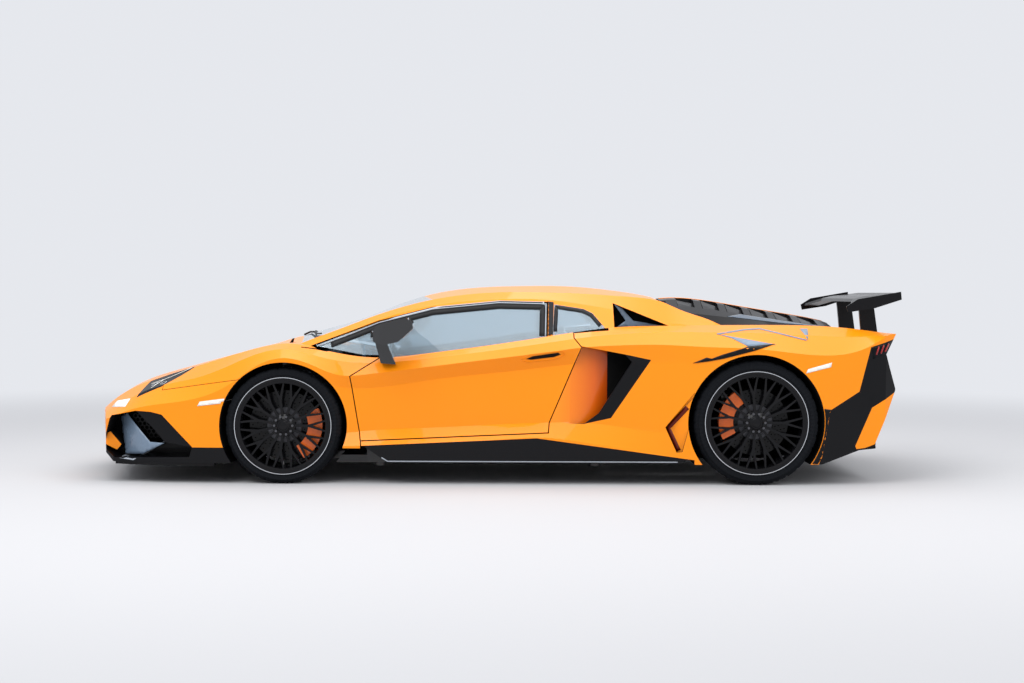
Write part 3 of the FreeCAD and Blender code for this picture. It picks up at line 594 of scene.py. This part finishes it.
def revolve(name, outline, place, steps, material, body, side=1):
    """Solid of (radius, y) points turned about a wheel's axis; side -1 turns its face to +Y."""
    mesh = bpy.data.meshes.new(name)
    points, faces = [], []
    count = len(outline)
    for i in range(steps):
        turn = 2 * math.pi * i / steps
        points += [(r * math.cos(turn), side * y, r * math.sin(turn)) for r, y in outline]
    for i in range(steps):
        for j in range(count):
            a, b = i * count + j, i * count + (j + 1) % count
            c, d = ((i + 1) % steps) * count + (j + 1) % count, ((i + 1) % steps) * count + j
            faces.append((a, b, c, d))
    mesh.from_pydata(points, [], faces)
    shape = bmesh.new()
    shape.from_mesh(mesh)
    bmesh.ops.recalc_face_normals(shape, faces=shape.faces)
    shape.to_mesh(mesh)
    shape.free()
    piece = bpy.data.objects.new(name, mesh)
    bpy.context.scene.collection.objects.link(piece)
    piece.location = place
    mesh.materials.append(material)
    for face in mesh.polygons:
        face.use_smooth = True
    mesh.set_sharp_from_angle(angle=math.radians(40))
    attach(piece, body)
    return piece


# Wheels and tyres

# How far the flange stands out beyond the solid's rim, in metres
RIM_LIP = 0.017
TYRE_STEPS, RIM_STEPS = 180, 120
# Notches in the tyre's shoulders: at which steps, how deep, and at which points of the outline
NOTCH_EVERY, NOTCH_DEPTH = 6, 0.005
SHOULDER = (9, 10, 11)
# Disc: how far in from the tyre's side its face lies, then holes: radii, count and radius
DISC_FACE = 0.086
DISC_ROWS, DISC_HOLES, DISC_HOLE = (0.118, 0.136, 0.154), 30, 0.0038
# Small bars round the hub: count, radius of their circle, and their own radius
WHEEL_BOLTS = (10, 0.052, 0.0075)
BELL_BOLTS = (12, 0.088, 0.006)
# Where the valve sits, as a part of a whole turn from +X
VALVE_TURN = 0.8594


def tyre_outline(axle):
    """Tyre section: a rounded half with the rim's bead and two grooves, and its mirror image."""
    radius, rim, half = axle.radius, axle.rim, axle.width / 2
    lip = rim + RIM_LIP
    side = [(rim - 0.004, -half + 0.014), (lip, -half + 0.011), (lip + 0.002, -half + 0.004),
            (lip + 0.009, -half + 0.0045), (lip + 0.011, -half + 0.001),
            (0.45 * lip + 0.55 * radius, -half), (radius - 0.026, -half + 0.003),
            (radius - 0.024, -half + 0.007), (radius - 0.012, -half + 0.013),
            (radius - 0.004, -half + 0.024), (radius, -half + 0.036)]
    for y in (-0.52 * half, -0.18 * half):
        side += [(radius, y - 0.006), (radius - 0.007, y - 0.004), (radius - 0.007, y + 0.004),
                 (radius, y + 0.006)]
    return side + [(r, -y) for r, y in side[::-1]]


def add_tyres():
    for letters, body, _, centre, axle in wheels():
        outline = tyre_outline(axle)
        tyre = revolve("tyre_tread_" + letters, outline, centre, TYRE_STEPS, RUBBER, body)
        last = len(outline) - 1
        scale = 1 - NOTCH_DEPTH / axle.radius
        for vertex in tyre.data.vertices:
            step, spot = divmod(vertex.index, len(outline))
            if step % NOTCH_EVERY == 0 and min(spot, last - spot) in SHOULDER:
                vertex.co.x *= scale
                vertex.co.z *= scale
        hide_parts("tyre_" + letters)


def add_wheel_details():
    """Flange with a bright ring as its painted highlight, bare hub cap, disc bell, bolts, valve,
    and disc drillings as black dots of painted shade.
    """
    for letters, body, side, centre, axle in wheels():
        face, rim = -axle.width / 2, axle.rim
        lip = rim + RIM_LIP
        back = face + DISC_FACE
        turned = (
            ("rim_flange_", RIM_STEPS, WHEEL,
             [(rim - 0.014, face + 0.016), (rim - 0.014, face + 0.009),
              (rim - 0.004, face + 0.005), (lip - 0.006, face + 0.0025),
              (lip, face + 0.0025), (lip, face + 0.0105)]),
            # Bright ring on the flange's lip: a painted highlight
            ("rim_highlight_", RIM_STEPS, BRIGHT,
             [(lip - 0.0052, face + 0.003), (lip - 0.0052, face + 0.0013),
              (lip - 0.0018, face + 0.0013), (lip - 0.0018, face + 0.003)]),
            ("hub_cap_", 48, WHEEL,
             [(0.0004, face + 0.017), (0.024, face + 0.018), (0.027, face + 0.021),
              (0.034, face + 0.021), (0.038, face + 0.025), (0.038, face + 0.032),
              (0.0004, face + 0.032)]),
            ("disc_bell_", 60, DARK_CAST,
             [(0.068, back - 0.007), (0.098, back - 0.007), (0.104, back - 0.001),
              (0.068, back - 0.001)]))
        for name, steps, material, outline in turned:
            revolve(name + letters, outline, centre, steps, material, body, -side)
        bars = bmesh.new()
        count, circle_radius, size = WHEEL_BOLTS
        for i in range(count):
            prism(bars, circle_radius, i / count, face + 0.024, face + 0.044, size, 6, -side)
        count, circle_radius, size = BELL_BOLTS
        for i in range(count):
            prism(bars, circle_radius, i / count, back - 0.013, back - 0.004, size, 8, -side)
        prism(bars, rim - 0.035, VALVE_TURN, face + 0.030, face + 0.075, 0.004, 8, -side)
        piece = from_bmesh("wheel_bolts_" + letters, bars, DARK_CAST, body)
        piece.matrix_world = Matrix.Translation(centre)
        # Black dots for the disc's drilled holes: painted shade in them
        holes = bmesh.new()
        for row, radius in enumerate((*DISC_ROWS, axle.disc - 0.018)):
            for i in range(DISC_HOLES):
                turn = (i + 0.33 * row) / DISC_HOLES
                prism(holes, radius, turn, back - 0.0007, back + 0.001, DISC_HOLE, 8, -side)
        piece = from_bmesh("disc_holes_" + letters, holes, SHADE_AND_LINER_BLACK, body)
        piece.matrix_world = Matrix.Translation(centre)


def prism(shape, radius, turn, y0, y1, size, sides, side):
    """Small bar along the wheel's axis, at a radius and at a part of a whole turn."""
    angle = 2 * math.pi * turn
    x, z = radius * math.cos(angle), radius * math.sin(angle)
    close_rings(shape, [[shape.verts.new((x + a, side * y, z + b)) for a, b in circle(sides, size)]
                        for y in (y0, y1)])


# Body details: side views in (x, z) mm

MARKER_FRONT = [(-1655, 441), (-1502, 459), (-1497, 486), (-1640, 467)]
MARKER_REAR = [(1812, 640), (1955, 676), (1960, 702), (1822, 664)]
LID_LINE = [(1315, 860), (1482, 883), (1574, 889), (1827, 826)]
LID_NOTCH = [(1810, 889), (1856, 889), (1833, 826)]
LID_WEDGE = [(1315, 860), (1395, 837), (1482, 791), (1643, 802)]
SLASH = [(1638, 804), (1549, 777), (1461, 753), (1343, 723), (1264, 708), (1166, 695), (1245, 729),
         (1274, 723), (1333, 745), (1481, 790)]
HANDLE = [(222, 716), (260, 732), (405, 753), (418, 742), (380, 728), (250, 712)]
HANDLE_LIP = [(195, 712), (240, 742), (430, 764), (442, 742), (385, 717), (230, 700)]
SKIRT_HIGHLIGHT = [(-688, 206), (-566, 132), (1085, 132)]
BLADE_HIGHLIGHT = [(-2131, 146), (-2034, 130), (-1880, 230)]
BLADE_FACE = [(-2160, 366), (-2050, 244), (-2112, 150), (-1990, 158), (-1850, 226), (-1940, 230),
              (-2095, 388)]
# Front edge of the pocket before each rear wheel, where a dark red strip paints its shade
POCKET_SHADE_STRIP = [(1184, 512), (1018, 326), (1082, 190)]
NOSE_PATCH = [(-2204, 417), (-2185, 449), (-2080, 471), (-2094, 427)]
PILLAR = [(349, 1041), (385, 1037), (376, 830), (343, 834)]
SCOOP = [(535, 790), (786, 744), (933, 713), (707, 379), (555, 344), (352, 350)]
CORNER = [(1960, 432), (1917, 165), (1886, 121)] + [
    (1535 + 394 * math.cos(math.radians(a)), 355.5 + 394 * math.sin(math.radians(a)))
    for a in range(-36, 13, 4)]
RECESS_BACK = [(712, 860), (712, 1044), (1120, 886), (1120, 846)]
RECESS_BLADE = [(745, 1026), (790, 1004), (858, 930), (1060, 897), (1000, 890), (760, 892),
                (812, 930)]
DOOR_TOP = [(-975, 788), (-800, 855), (-639, 920), (-326, 1000), (64, 1038), (345, 1032),
            (338, 842)]
QUARTER = [(388, 1026), (560, 1000), (612, 975), (680, 892), (680, 862), (374, 834)]
TAIL_LAMP = [(2196, 790), (2322, 824), (2284, 752), (2204, 722)]
MESH_HOLE = [(-2070, 372), (-2022, 398), (-1931, 396), (-1896, 300), (-1858, 238), (-1945, 240)]
TAIL_LAMP_BARS = [((2222, 745), (2238, 792)), ((2250, 752), (2268, 800)),
                  ((2276, 762), (2300, 808))]
# Distances from the middle plane, in metres, of the panels upright in recess and intake
RECESS_BACK_Y, RECESS_BLADE_Y, INTAKE_MESH_Y = 0.55, 0.60, 0.80
# Outer radius of a grille's six-sided cells, in mm
MESH_CELL = 15


def add_side_details():
    skins = {"clip": skin_of("front_bumper", "front_fenders"), "rear": skin_of("rear_quarters"),
             "skirt": skin_of("side_skirts"), "tail": skin_of("rear_bumper", "rear_quarters"),
             "pillar": skin_of("roof", "rear_quarters", "side_windows"),
             "lip": skin_of("front_splitter", "intake_frames", "front_bumper"),
             "pane": skin_of("side_windows")}
    for word, side, door in SIDES:
        find = {key: side_finder(tree, side) for key, tree in skins.items()}
        find["door"] = side_finder(skin_of("door_" + word), side)
        find["glass"] = side_finder(skin_of("door_glass_" + word), side)
        decal("front_marker_" + word, find["clip"], MARKER_FRONT, WHITE_LENS)
        decal("rear_marker_" + word, find["rear"], MARKER_REAR, WHITE_LENS)
        ribbon("lid_line_" + word, find["rear"], LID_LINE, 7, STEEL_BLUE)
        decal("lid_notch_" + word, find["rear"], LID_NOTCH, STEEL_BLUE)
        decal("lid_wedge_" + word, find["rear"], LID_WEDGE, STEEL_BLUE)
        decal("haunch_slash_" + word, find["rear"], SLASH, BLACK, lift=0.003)
        # Black patch for the handle's recess: painted shade in it
        decal("door_handle_" + word, find["door"], HANDLE, SHADE_AND_LINER_BLACK, door)
        ribbon("handle_lip_" + word, find["door"], HANDLE_LIP, 5, PAINT, door,
               closed=True, thick=0.003)
        # Pale strip on the skirt's lower edge: a painted highlight
        ribbon("skirt_highlight_" + word, find["skirt"], SKIRT_HIGHLIGHT, 6, PALE_HIGHLIGHT)
        # Pale strip along the intake blade's lower edge: a painted highlight
        ribbon("intake_highlight_" + word, find["lip"], BLADE_HIGHLIGHT, 9, PALE_HIGHLIGHT)
        decal("intake_face_" + word, hung(find["clip"], side), BLADE_FACE, STEEL_BLUE, lift=0,
              thick=0.004)
        # Dark red strip inside the pocket's front edge: painted shade in its depth
        ribbon("pocket_edge_" + word, find["rear"], inset(POCKET_SHADE_STRIP, -13), 26, POCKET_SHADE_RED,
               lift=0.0015)
        decal("pillar_band_" + word, find["pillar"], PILLAR, SATIN, lift=0.003, cell=0.01)
        decal("rear_corner_" + word, find["rear"], CORNER, BLACK, lift=0.002, thick=0.004,
              cell=0.012)
        # The recess's back is a black sheet: painted shade in its depth
        for name, outline, y, material in (
                ("recess_back_", RECESS_BACK, RECESS_BACK_Y, SHADE_AND_LINER_BLACK),
                ("recess_blade_", RECESS_BLADE, RECESS_BLADE_Y, STEEL_BLUE)):
            decal(name + word, plane_across(side * y, side), outline, material, lift=0,
                  thick=0.004)
        ribbon("window_band_" + word, find["glass"], inset(DOOR_TOP, 23), 34, SATIN, door)
        # Pale strip along the window's top edge: a painted highlight
        ribbon("window_highlight_" + word, find["glass"], inset(DOOR_TOP, 5), 5, PALE_HIGHLIGHT, door, 0.0026)
        ribbon("quarter_band_" + word, find["pane"], inset(QUARTER, 14, True), 22, SATIN,
               closed=True)
        decal("tail_lamp_side_" + word, find["tail"], TAIL_LAMP, DARK_GLASS)
        for i, bar in enumerate(TAIL_LAMP_BARS):
            ribbon("tail_lamp_bar_%s_%d" % (word, i), find["tail"], bar, 9, RED_LENS, lift=0.003)
        hex_mesh("intake_mesh_" + word, plane_across(side * INTAKE_MESH_Y, side), MESH_HOLE,
                 MESH_CELL)
    # White patch on the left corner of the nose, in the plate's white
    decal("nose_patch", side_finder(skins["clip"], -1), NOSE_PATCH, BLANK)


# Seen from behind, in (y, z) mm, and from above, in (x, y) mm
MIRROR_GLASS = [(955, 835), (955, 905), (1095, 912), (1108, 890), (1085, 835)]
LAMP_STRIPS = [((-1975, 690), (-1900, 700), (-1740, 676)), ((-1900, 700), (-1960, 770))]
LAMP_RINGS = [(-1948, 722), (-1890, 758)]
LAMP_RING_RADIUS = 17


def add_mirror_glass():
    for word, side, door in SIDES:
        find = end_finder(skin_of("mirror_" + word), 1)
        decal("mirror_glass_" + word, find, [(side * y, z) for y, z in MIRROR_GLASS], BRIGHT, door)


def add_lamps():
    """Light strips and two bright rings in each headlamp."""
    find = top_finder(skin_of("headlamps"))
    for word, side, _ in SIDES:
        for i, path in enumerate(LAMP_STRIPS):
            ribbon("lamp_strip_%s_%d" % (word, i), find, [(x, side * y) for x, y in path], 5,
                   WHITE_LENS, lift=0.002)
        for i, (x, y) in enumerate(LAMP_RINGS):
            ring = [(x + a, side * y + b) for a, b in circle(20, LAMP_RING_RADIUS)]
            ribbon("lamp_ring_%s_%d" % (word, i), find, ring, 4, BRIGHT, lift=0.002, closed=True)


# Engine cover: x, centre height, then y, z of the spine edge and of the side, in metres
COVER = [
    (1.046, 1.060, 0.180, 1.050, 0.415, 0.985),
    (1.295, 1.056, 0.172, 1.046, 0.412, 0.965),
    (1.540, 1.018, 0.162, 1.008, 0.398, 0.938),
    (1.810, 0.974, 0.150, 0.965, 0.378, 0.908),
    (2.085, 0.922, 0.140, 0.914, 0.350, 0.886),
]
COVER_SPINE = [(1056, -52), (1056, 52), (2078, 26), (2078, -26)]
COVER_FLANK = [(1440, 394), (1530, 312), (1720, 310), (2030, 338), (1780, 374)]
# Louvres in metres: front edges, half widths of a slat's points, then depth and drop of its edges
LOUVRES = [1.150, 1.300, 1.450, 1.600, 1.750, 1.900]
SLAT_WIDTHS = (0.060, 0.160, 0.230, 0.295)
SLAT_EDGES = ((0.004, 0.003), (0.101, 0.020))


def cover_height(x, y):
    """Height of the cover's faceted skin, from its table of sections."""
    for row, after in zip(COVER, COVER[1:]):
        if x <= after[0] or after is COVER[-1]:
            t = (x - row[0]) / (after[0] - row[0])
            top, y1, z1, y2, z2 = [a + t * (b - a) for a, b in zip(row[1:], after[1:])]
            break
    y = abs(y)
    if y < y1:
        return top + (z1 - top) * y / y1
    return z1 + (z2 - z1) * (y - y1) / (y2 - y1)


def add_cover_details():
    """Painted spine, a dark panel on each flank, and a tilted slat in each louvre slot."""
    find = top_finder(skin_of("engine_cover"))
    decal("cover_spine", find, COVER_SPINE, PAINT, "cover")
    for word, side, _ in SIDES:
        decal("cover_flank_" + word, find, [(x, side * y) for x, y in COVER_FLANK], BLUE_BLACK,
              "cover")
        slats = bmesh.new()
        for front in LOUVRES:
            rows = [[slats.verts.new((front + depth, side * y,
                                      cover_height(front + depth, y) - drop))
                     for y in SLAT_WIDTHS] for depth, drop in SLAT_EDGES]
            for j in range(len(SLAT_WIDTHS) - 1):
                slats.faces.new((rows[0][j], rows[0][j + 1], rows[1][j + 1], rows[1][j]))
        thicken(from_bmesh("louvre_slats_" + word, slats, BLACK, "cover"), 0.003)


# Wiper arm in metres: x, y, and how far it stands off the glass
WIPER_ARM = [(-1.175, 0.12, 0.012), (-1.13, 0.10, 0.020), (-1.07, -0.22, 0.016)]


def add_wiper():
    find = top_finder(skin_of("windscreen", "bonnet", "front_fenders"))

    def above(x, y, lift):
        hit, normal = find(x, y)
        return hit + lift * normal
    tube("wiper_arm", [above(*point) for point in WIPER_ARM], 0.006, SATIN)
    steps = [k / 12 for k in range(13)]
    blade = [above(-1.09 + 0.10 * t * t, 0.10 - 0.66 * t, 0.008) for t in steps]
    tube("wiper_blade", blade, 0.0045, SATIN)


# Nose and tail: end views in (y, z) mm

NOSE_MESH = [(-425, 172), (425, 172), (425, 256), (-425, 256)]
NOSE_MESH_X = -2.262
FRONT_PLATE = [(-260, 262), (260, 262), (260, 350), (-260, 350)]
TAIL_GRILLE = [(-430, 640), (430, 640), (405, 752), (-405, 752)]
# Exhaust tips in metres: half their spacing, height, and section as (radius, x)
TIP_Y, TIP_Z = 0.082, 0.520
TIP_SECTION = [(0.0535, 2.345), (0.0535, 2.300), (0.0600, 2.300), (0.0615, 2.335),
               (0.0600, 2.345)]


def add_end_details():
    """Mesh and blank plate at the nose, bare grille and exhaust tips at the tail."""
    def nose_plane(y, z):
        return Vector((NOSE_MESH_X, y, z)), Vector((-1, 0, 0))
    hex_mesh("nose_mesh", nose_plane, NOSE_MESH, MESH_CELL)
    decal("front_plate", end_finder(skin_of("front_bumper"), -1), FRONT_PLATE, BLANK,
          lift=0.0006, thick=0.0008)
    tail = end_finder(skin_of("rear_bumper"), 1)
    # Black sheet behind the grille: painted shade in the opening
    decal("tail_grille_back", tail, TAIL_GRILLE, SHADE_AND_LINER_BLACK)
    hex_mesh("tail_grille", tail, TAIL_GRILLE, MESH_CELL, WHEEL)
    for _, side, _ in SIDES:
        shape = bmesh.new()
        rings = [[shape.verts.new((x, side * TIP_Y + a, TIP_Z + b)) for a, b in circle(48, radius)]
                 for radius, x in TIP_SECTION]
        join_rings(shape, rings + rings[:1])
        from_bmesh("exhaust_tip_%d" % (side > 0), shape, STEEL, smooth=True)


# Cabin

SEAT_MIDDLE, SHELL_HALF = 0.400, 0.155
BOLSTER = [(-322, 158), (-312, 344), (-66, 392), (112, 682), (206, 692), (74, 158)]
# Pads: name, side outline (x, z) in mm, half width and offset in y from the seat's middle, cap on
# how far the cloth moves, cover
PADS = [
    ("cushion", [(-328, 200), (-330, 276), (-180, 296), (8, 318), (48, 296), (58, 205)],
     0.148, 0, 0.012, LEATHER),
    ("back", [(34, 338), (112, 685), (172, 690), (82, 322)], 0.145, 0, 0.012, LEATHER),
    ("headrest", [(120, 702), (132, 762), (172, 790), (222, 766), (208, 706)], 0.105, 0, 0.010,
     CLOTH),
    ("bolster_in", BOLSTER, 0.026, 0.185, 0.008, CLOTH),
    ("bolster_out", BOLSTER, 0.026, -0.185, 0.008, CLOTH),
]
SEAT_SHELL = [(-340, 150), (60, 150), (235, 770), (218, 775), (44, 172), (-340, 196)]
# Seams of the left seat in mm: their y, then the x along the cushion and the z up the back
SEAMS_Y, CUSHION_SEAM, BACK_SEAM = (-480, -320), (-320, 30), (345, 675)
PAD_VOXEL, CLOTH_FRAMES, CLOTH_PRESSURE = 0.006, 20, 4


def side_block(outline, y0, y1):
    """Block with a side outline in mm and flat sides at y0 and y1 in metres."""
    shape = bmesh.new()
    close_rings(shape, [[shape.verts.new((x / 1000, y, z / 1000)) for x, z in outline]
                        for y in (y0, y1)])
    bmesh.ops.recalc_face_normals(shape, faces=shape.faces)
    return shape


def evaluated(piece):
    graph = bpy.context.evaluated_depsgraph_get()
    return bpy.data.meshes.new_from_object(piece.evaluated_get(graph))


def swollen(shape, cap):
    """Closed block blown up as cloth: remeshed, simulated for some frames, and capped."""
    mesh = bpy.data.meshes.new("pad")
    shape.to_mesh(mesh)
    shape.free()
    holder = bpy.data.objects.new("pad", mesh)
    bpy.context.scene.collection.objects.link(holder)
    fine = holder.modifiers.new("fine", "REMESH")
    fine.mode = "VOXEL"
    fine.voxel_size = PAD_VOXEL
    mesh = evaluated(holder)
    holder.modifiers.clear()
    holder.data = mesh
    start = [vertex.co.copy() for vertex in mesh.vertices]
    cloth = holder.modifiers.new("cloth", "CLOTH")
    cloth.settings.use_pressure = True
    cloth.settings.uniform_pressure_force = CLOTH_PRESSURE
    cloth.settings.effector_weights.gravity = 0
    for number in range(1, CLOTH_FRAMES + 1):
        bpy.context.scene.frame_set(number)
    mesh = evaluated(holder)
    bpy.context.scene.frame_set(1)
    for vertex, place in zip(mesh.vertices, start):
        move = vertex.co - place
        if move.length > cap:
            vertex.co = place + move * (cap / move.length)
    bpy.data.objects.remove(holder)
    return mesh


def mirror_mesh(mesh):
    twin = mesh.copy()
    twin.transform(Matrix.Scale(-1, 4, (0, 1, 0)))
    twin.flip_normals()
    return twin


def add_seats():
    """Pads in a carbon shell, with orange seams; the right seat mirrors the left."""
    for name, outline, half, offset, cap, cover in PADS:
        middle = -SEAT_MIDDLE + offset
        mesh = swollen(side_block(outline, middle - half, middle + half), cap)
        mesh.materials.clear()
        for word, data in (("left", mesh), ("right", mirror_mesh(mesh))):
            pad = add_piece("seat_%s_%s" % (name, word), data, cover, smooth=True)
            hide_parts("seats")
        tree = BVHTree.FromPolygons([v.co.copy() for v in mesh.vertices],
                                    [list(f.vertices) for f in mesh.polygons])
        if name == "cushion":
            add_seams(name, top_finder(tree), [[(x, y) for x in CUSHION_SEAM] for y in SEAMS_Y])
        if name == "back":
            add_seams(name, end_finder(tree, -1), [[(y, z) for z in BACK_SEAM] for y in SEAMS_Y])
    for word, side, _ in SIDES:
        y0, y1 = sorted(side * (SEAT_MIDDLE + way * SHELL_HALF) for way in (-1, 1))
        piece = from_bmesh("seat_shell_" + word, side_block(SEAT_SHELL, y0, y1), CARBON)
        bevel(piece, 0.004)
        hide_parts("seats")


def add_seams(name, find, paths):
    for i, path in enumerate(paths):
        add_twin(ribbon("seam_%s_%d_left" % (name, i), find, path, 4, STITCH, thick=0.002))


def add_twin(piece):
    """Mirror image of a thickened left piece on the car's right side."""
    twin = add_piece(piece.name.replace("left", "right"), mirror_mesh(piece.data), None,
                     smooth=True)
    for modifier in piece.modifiers:
        thicken(twin, modifier.thickness)


# Dashboard seen from behind, in (y, z) mm
DRIVER_SCREEN = [(-505, 706), (-295, 706), (-305, 758), (-495, 758)]
CENTRE_SCREEN = [(-78, 515), (78, 515), (78, 598), (-78, 598)]
SWITCH_ROWS = ((500, SATIN), (482, BRIGHT), (464, SATIN))
VENTS_Y, VENT_Z, VENT_SIZE = (-640, -200, 200, 640), 668, (44, 15)
# Steering wheel in metres: its middle, its axis, and its pad's section as (radius, height)
STEERING_MIDDLE = Vector((-0.56, -0.40, 0.69))
STEERING_AXIS = Vector((-1, 0, -0.42)).normalized()
PAD_SECTION = ((0.010, -0.026), (0.046, -0.024), (0.056, -0.012), (0.056, 0.010))
STEERING_RADIUS = 0.175


def add_dashboard_details():
    """Two screens, rows of switches and four vents."""
    find = end_finder(skin_of("dashboard"), 1)
    decal("instrument_screen", find, DRIVER_SCREEN, SCREEN)
    decal("centre_screen", find, CENTRE_SCREEN, SCREEN)
    for i, (z, material) in enumerate(SWITCH_ROWS):
        ribbon("switch_row_%d" % i, find, [(-80, z), (80, z)], 9, material, thick=0.004)
    for i, y in enumerate(VENTS_Y):
        ring = [(y + a, VENT_Z + b) for a, b in circle(6, *VENT_SIZE)]
        ribbon("vent_%d" % i, find, ring, 5, SATIN, closed=True, thick=0.004)


def add_steering_details():
    """Leather pad over the hub, and an orange mark on the rim's top."""
    turn = STEERING_AXIS.to_track_quat("Z", "Y").to_matrix().to_4x4()
    shape = bmesh.new()
    close_rings(shape, [[shape.verts.new((a, b, z)) for a, b in circle(32, radius, 1.15 * radius)]
                        for radius, z in PAD_SECTION])
    bmesh.ops.transform(shape, matrix=Matrix.Translation(STEERING_MIDDLE) @ turn,
                        verts=shape.verts)
    from_bmesh("steering_pad", shape, LEATHER, "steering", True)
    turns = [math.pi * k / 60 for k in range(-4, 5)]
    mark = [STEERING_MIDDLE + turn @ Vector((STEERING_RADIUS * math.cos(t),
                                             STEERING_RADIUS * math.sin(t), 0)) for t in turns]
    tube("steering_mark", mark, 0.0158, STITCH, "steering")


# Tunnel trim and its keys: side outlines (x, z) in mm, half widths and places in metres
TUNNEL = [(-600, 398), (-596, 424), (-300, 430), (560, 430), (640, 398)]
KEY = [(0, 428), (0, 440), (26, 442), (28, 428)]
TUNNEL_HALF, KEY_HALF = 0.115, 0.05
KEY_PLACES = (-0.48, -0.44, -0.40)


def add_console():
    """Leather top on the tunnel, with a row of bright keys between the seats."""
    trim = from_bmesh("tunnel_trim", side_block(TUNNEL, -TUNNEL_HALF, TUNNEL_HALF), LEATHER)
    bevel(trim, 0.010, 3)
    for place in KEY_PLACES:
        shape = side_block([(1000 * place + x, z) for x, z in KEY], -KEY_HALF, KEY_HALF)
        bevel(from_bmesh("gear_key_%d" % (-100 * place), shape, BRIGHT), 0.003)


# Studio

BACKDROP, BACKDROP_LEVEL = (0.93, 0.95, 1.0), 0.85
# Distances from the car's middle, in metres, over which the floor runs into the backdrop
FLOOR_FADE = (3.5, 10)
FLOOR_HALF = 60
# Lights: name, place, side of their square, power in watts
LIGHTS = (("key", (-3, -5, 6), 5, 330), ("top", (0.5, 0.5, 6.5), 7, 330),
          ("fill", (5, -4, 4), 4, 120))


def floor_material():
    """Grey floor that runs into the backdrop's colour away from the car, with no horizon."""
    material, shader = plain("floor", (0.50, 0.50, 0.51), 0.85)
    tree = material.node_tree
    links = tree.links
    far = tree.nodes.new("ShaderNodeVectorMath")
    far.operation = "LENGTH"
    links.new(object_place(tree), far.inputs[0])
    spread = tree.nodes.new("ShaderNodeMapRange")
    spread.interpolation_type = "SMOOTHSTEP"
    spread.inputs["From Min"].default_value, spread.inputs["From Max"].default_value = FLOOR_FADE
    links.new(far.outputs["Value"], spread.inputs["Value"])
    ray = tree.nodes.new("ShaderNodeLightPath").outputs
    seen = maths(tree, "MAXIMUM", ray["Is Camera Ray"], ray["Is Glossy Ray"])
    seen = maths(tree, "MAXIMUM", seen, ray["Is Transmission Ray"])
    seen = maths(tree, "MULTIPLY", seen, spread.outputs["Result"])
    backdrop = tree.nodes.new("ShaderNodeEmission")
    backdrop.inputs["Color"].default_value = (*BACKDROP, 1)
    backdrop.inputs["Strength"].default_value = BACKDROP_LEVEL
    mix = tree.nodes.new("ShaderNodeMixShader")
    links.new(seen, mix.inputs["Fac"])
    links.new(shader.outputs["BSDF"], mix.inputs[1])
    links.new(backdrop.outputs["Emission"], mix.inputs[2])
    links.new(mix.outputs["Shader"], tree.nodes["Material Output"].inputs["Surface"])
    return material


def place_camera(scene):
    camera = bpy.data.objects.new("camera", bpy.data.cameras.new("camera"))
    scene.collection.objects.link(camera)
    turn = Matrix.Rotation(math.pi / 2 - CAMERA_PITCH, 4, "X")
    camera.matrix_world = (Matrix.Translation(CAMERA_PLACE) @ turn
                           @ Matrix.Rotation(CAMERA_ROLL, 4, "Z"))
    camera.data.lens = CAMERA_LENS
    camera.data.sensor_width = 36
    scene.camera = camera


def lay_floor(scene):
    half = FLOOR_HALF
    mesh = bpy.data.meshes.new("floor")
    mesh.from_pydata([(-half, -half, 0), (half, -half, 0), (half, half, 0), (-half, half, 0)],
                     [], [(0, 1, 2, 3)])
    floor = bpy.data.objects.new("floor", mesh)
    scene.collection.objects.link(floor)
    floor.location.z = -0.0005
    floor.data.materials.append(floor_material())


def light_studio(scene):
    """Even backdrop light and three square lights aimed at the car."""
    world = bpy.data.worlds.new("studio")
    scene.world = world
    world.use_nodes = True
    back = world.node_tree.nodes["Background"]
    back.inputs["Color"].default_value = (*BACKDROP, 1)
    back.inputs["Strength"].default_value = BACKDROP_LEVEL
    for name, place, size, power in LIGHTS:
        light = bpy.data.lights.new(name, "AREA")
        light.size = size
        light.energy = power
        lamp = bpy.data.objects.new(name, light)
        scene.collection.objects.link(lamp)
        lamp.location = place
        aim = Vector((0, 0, 0.4)) - Vector(place)
        lamp.rotation_euler = aim.to_track_quat("-Z", "Y").to_euler()


def studio():
    scene = bpy.context.scene
    scene.view_settings.view_transform = "Standard"
    place_camera(scene)
    lay_floor(scene)
    light_studio(scene)


dress_nodes()
line_and_shade_hidden_faces()
add_tyres()
add_wheel_details()
add_side_details()
add_mirror_glass()
add_lamps()
add_cover_details()
add_wiper()
add_end_details()
add_seats()
add_dashboard_details()
add_steering_details()
add_console()
studio()
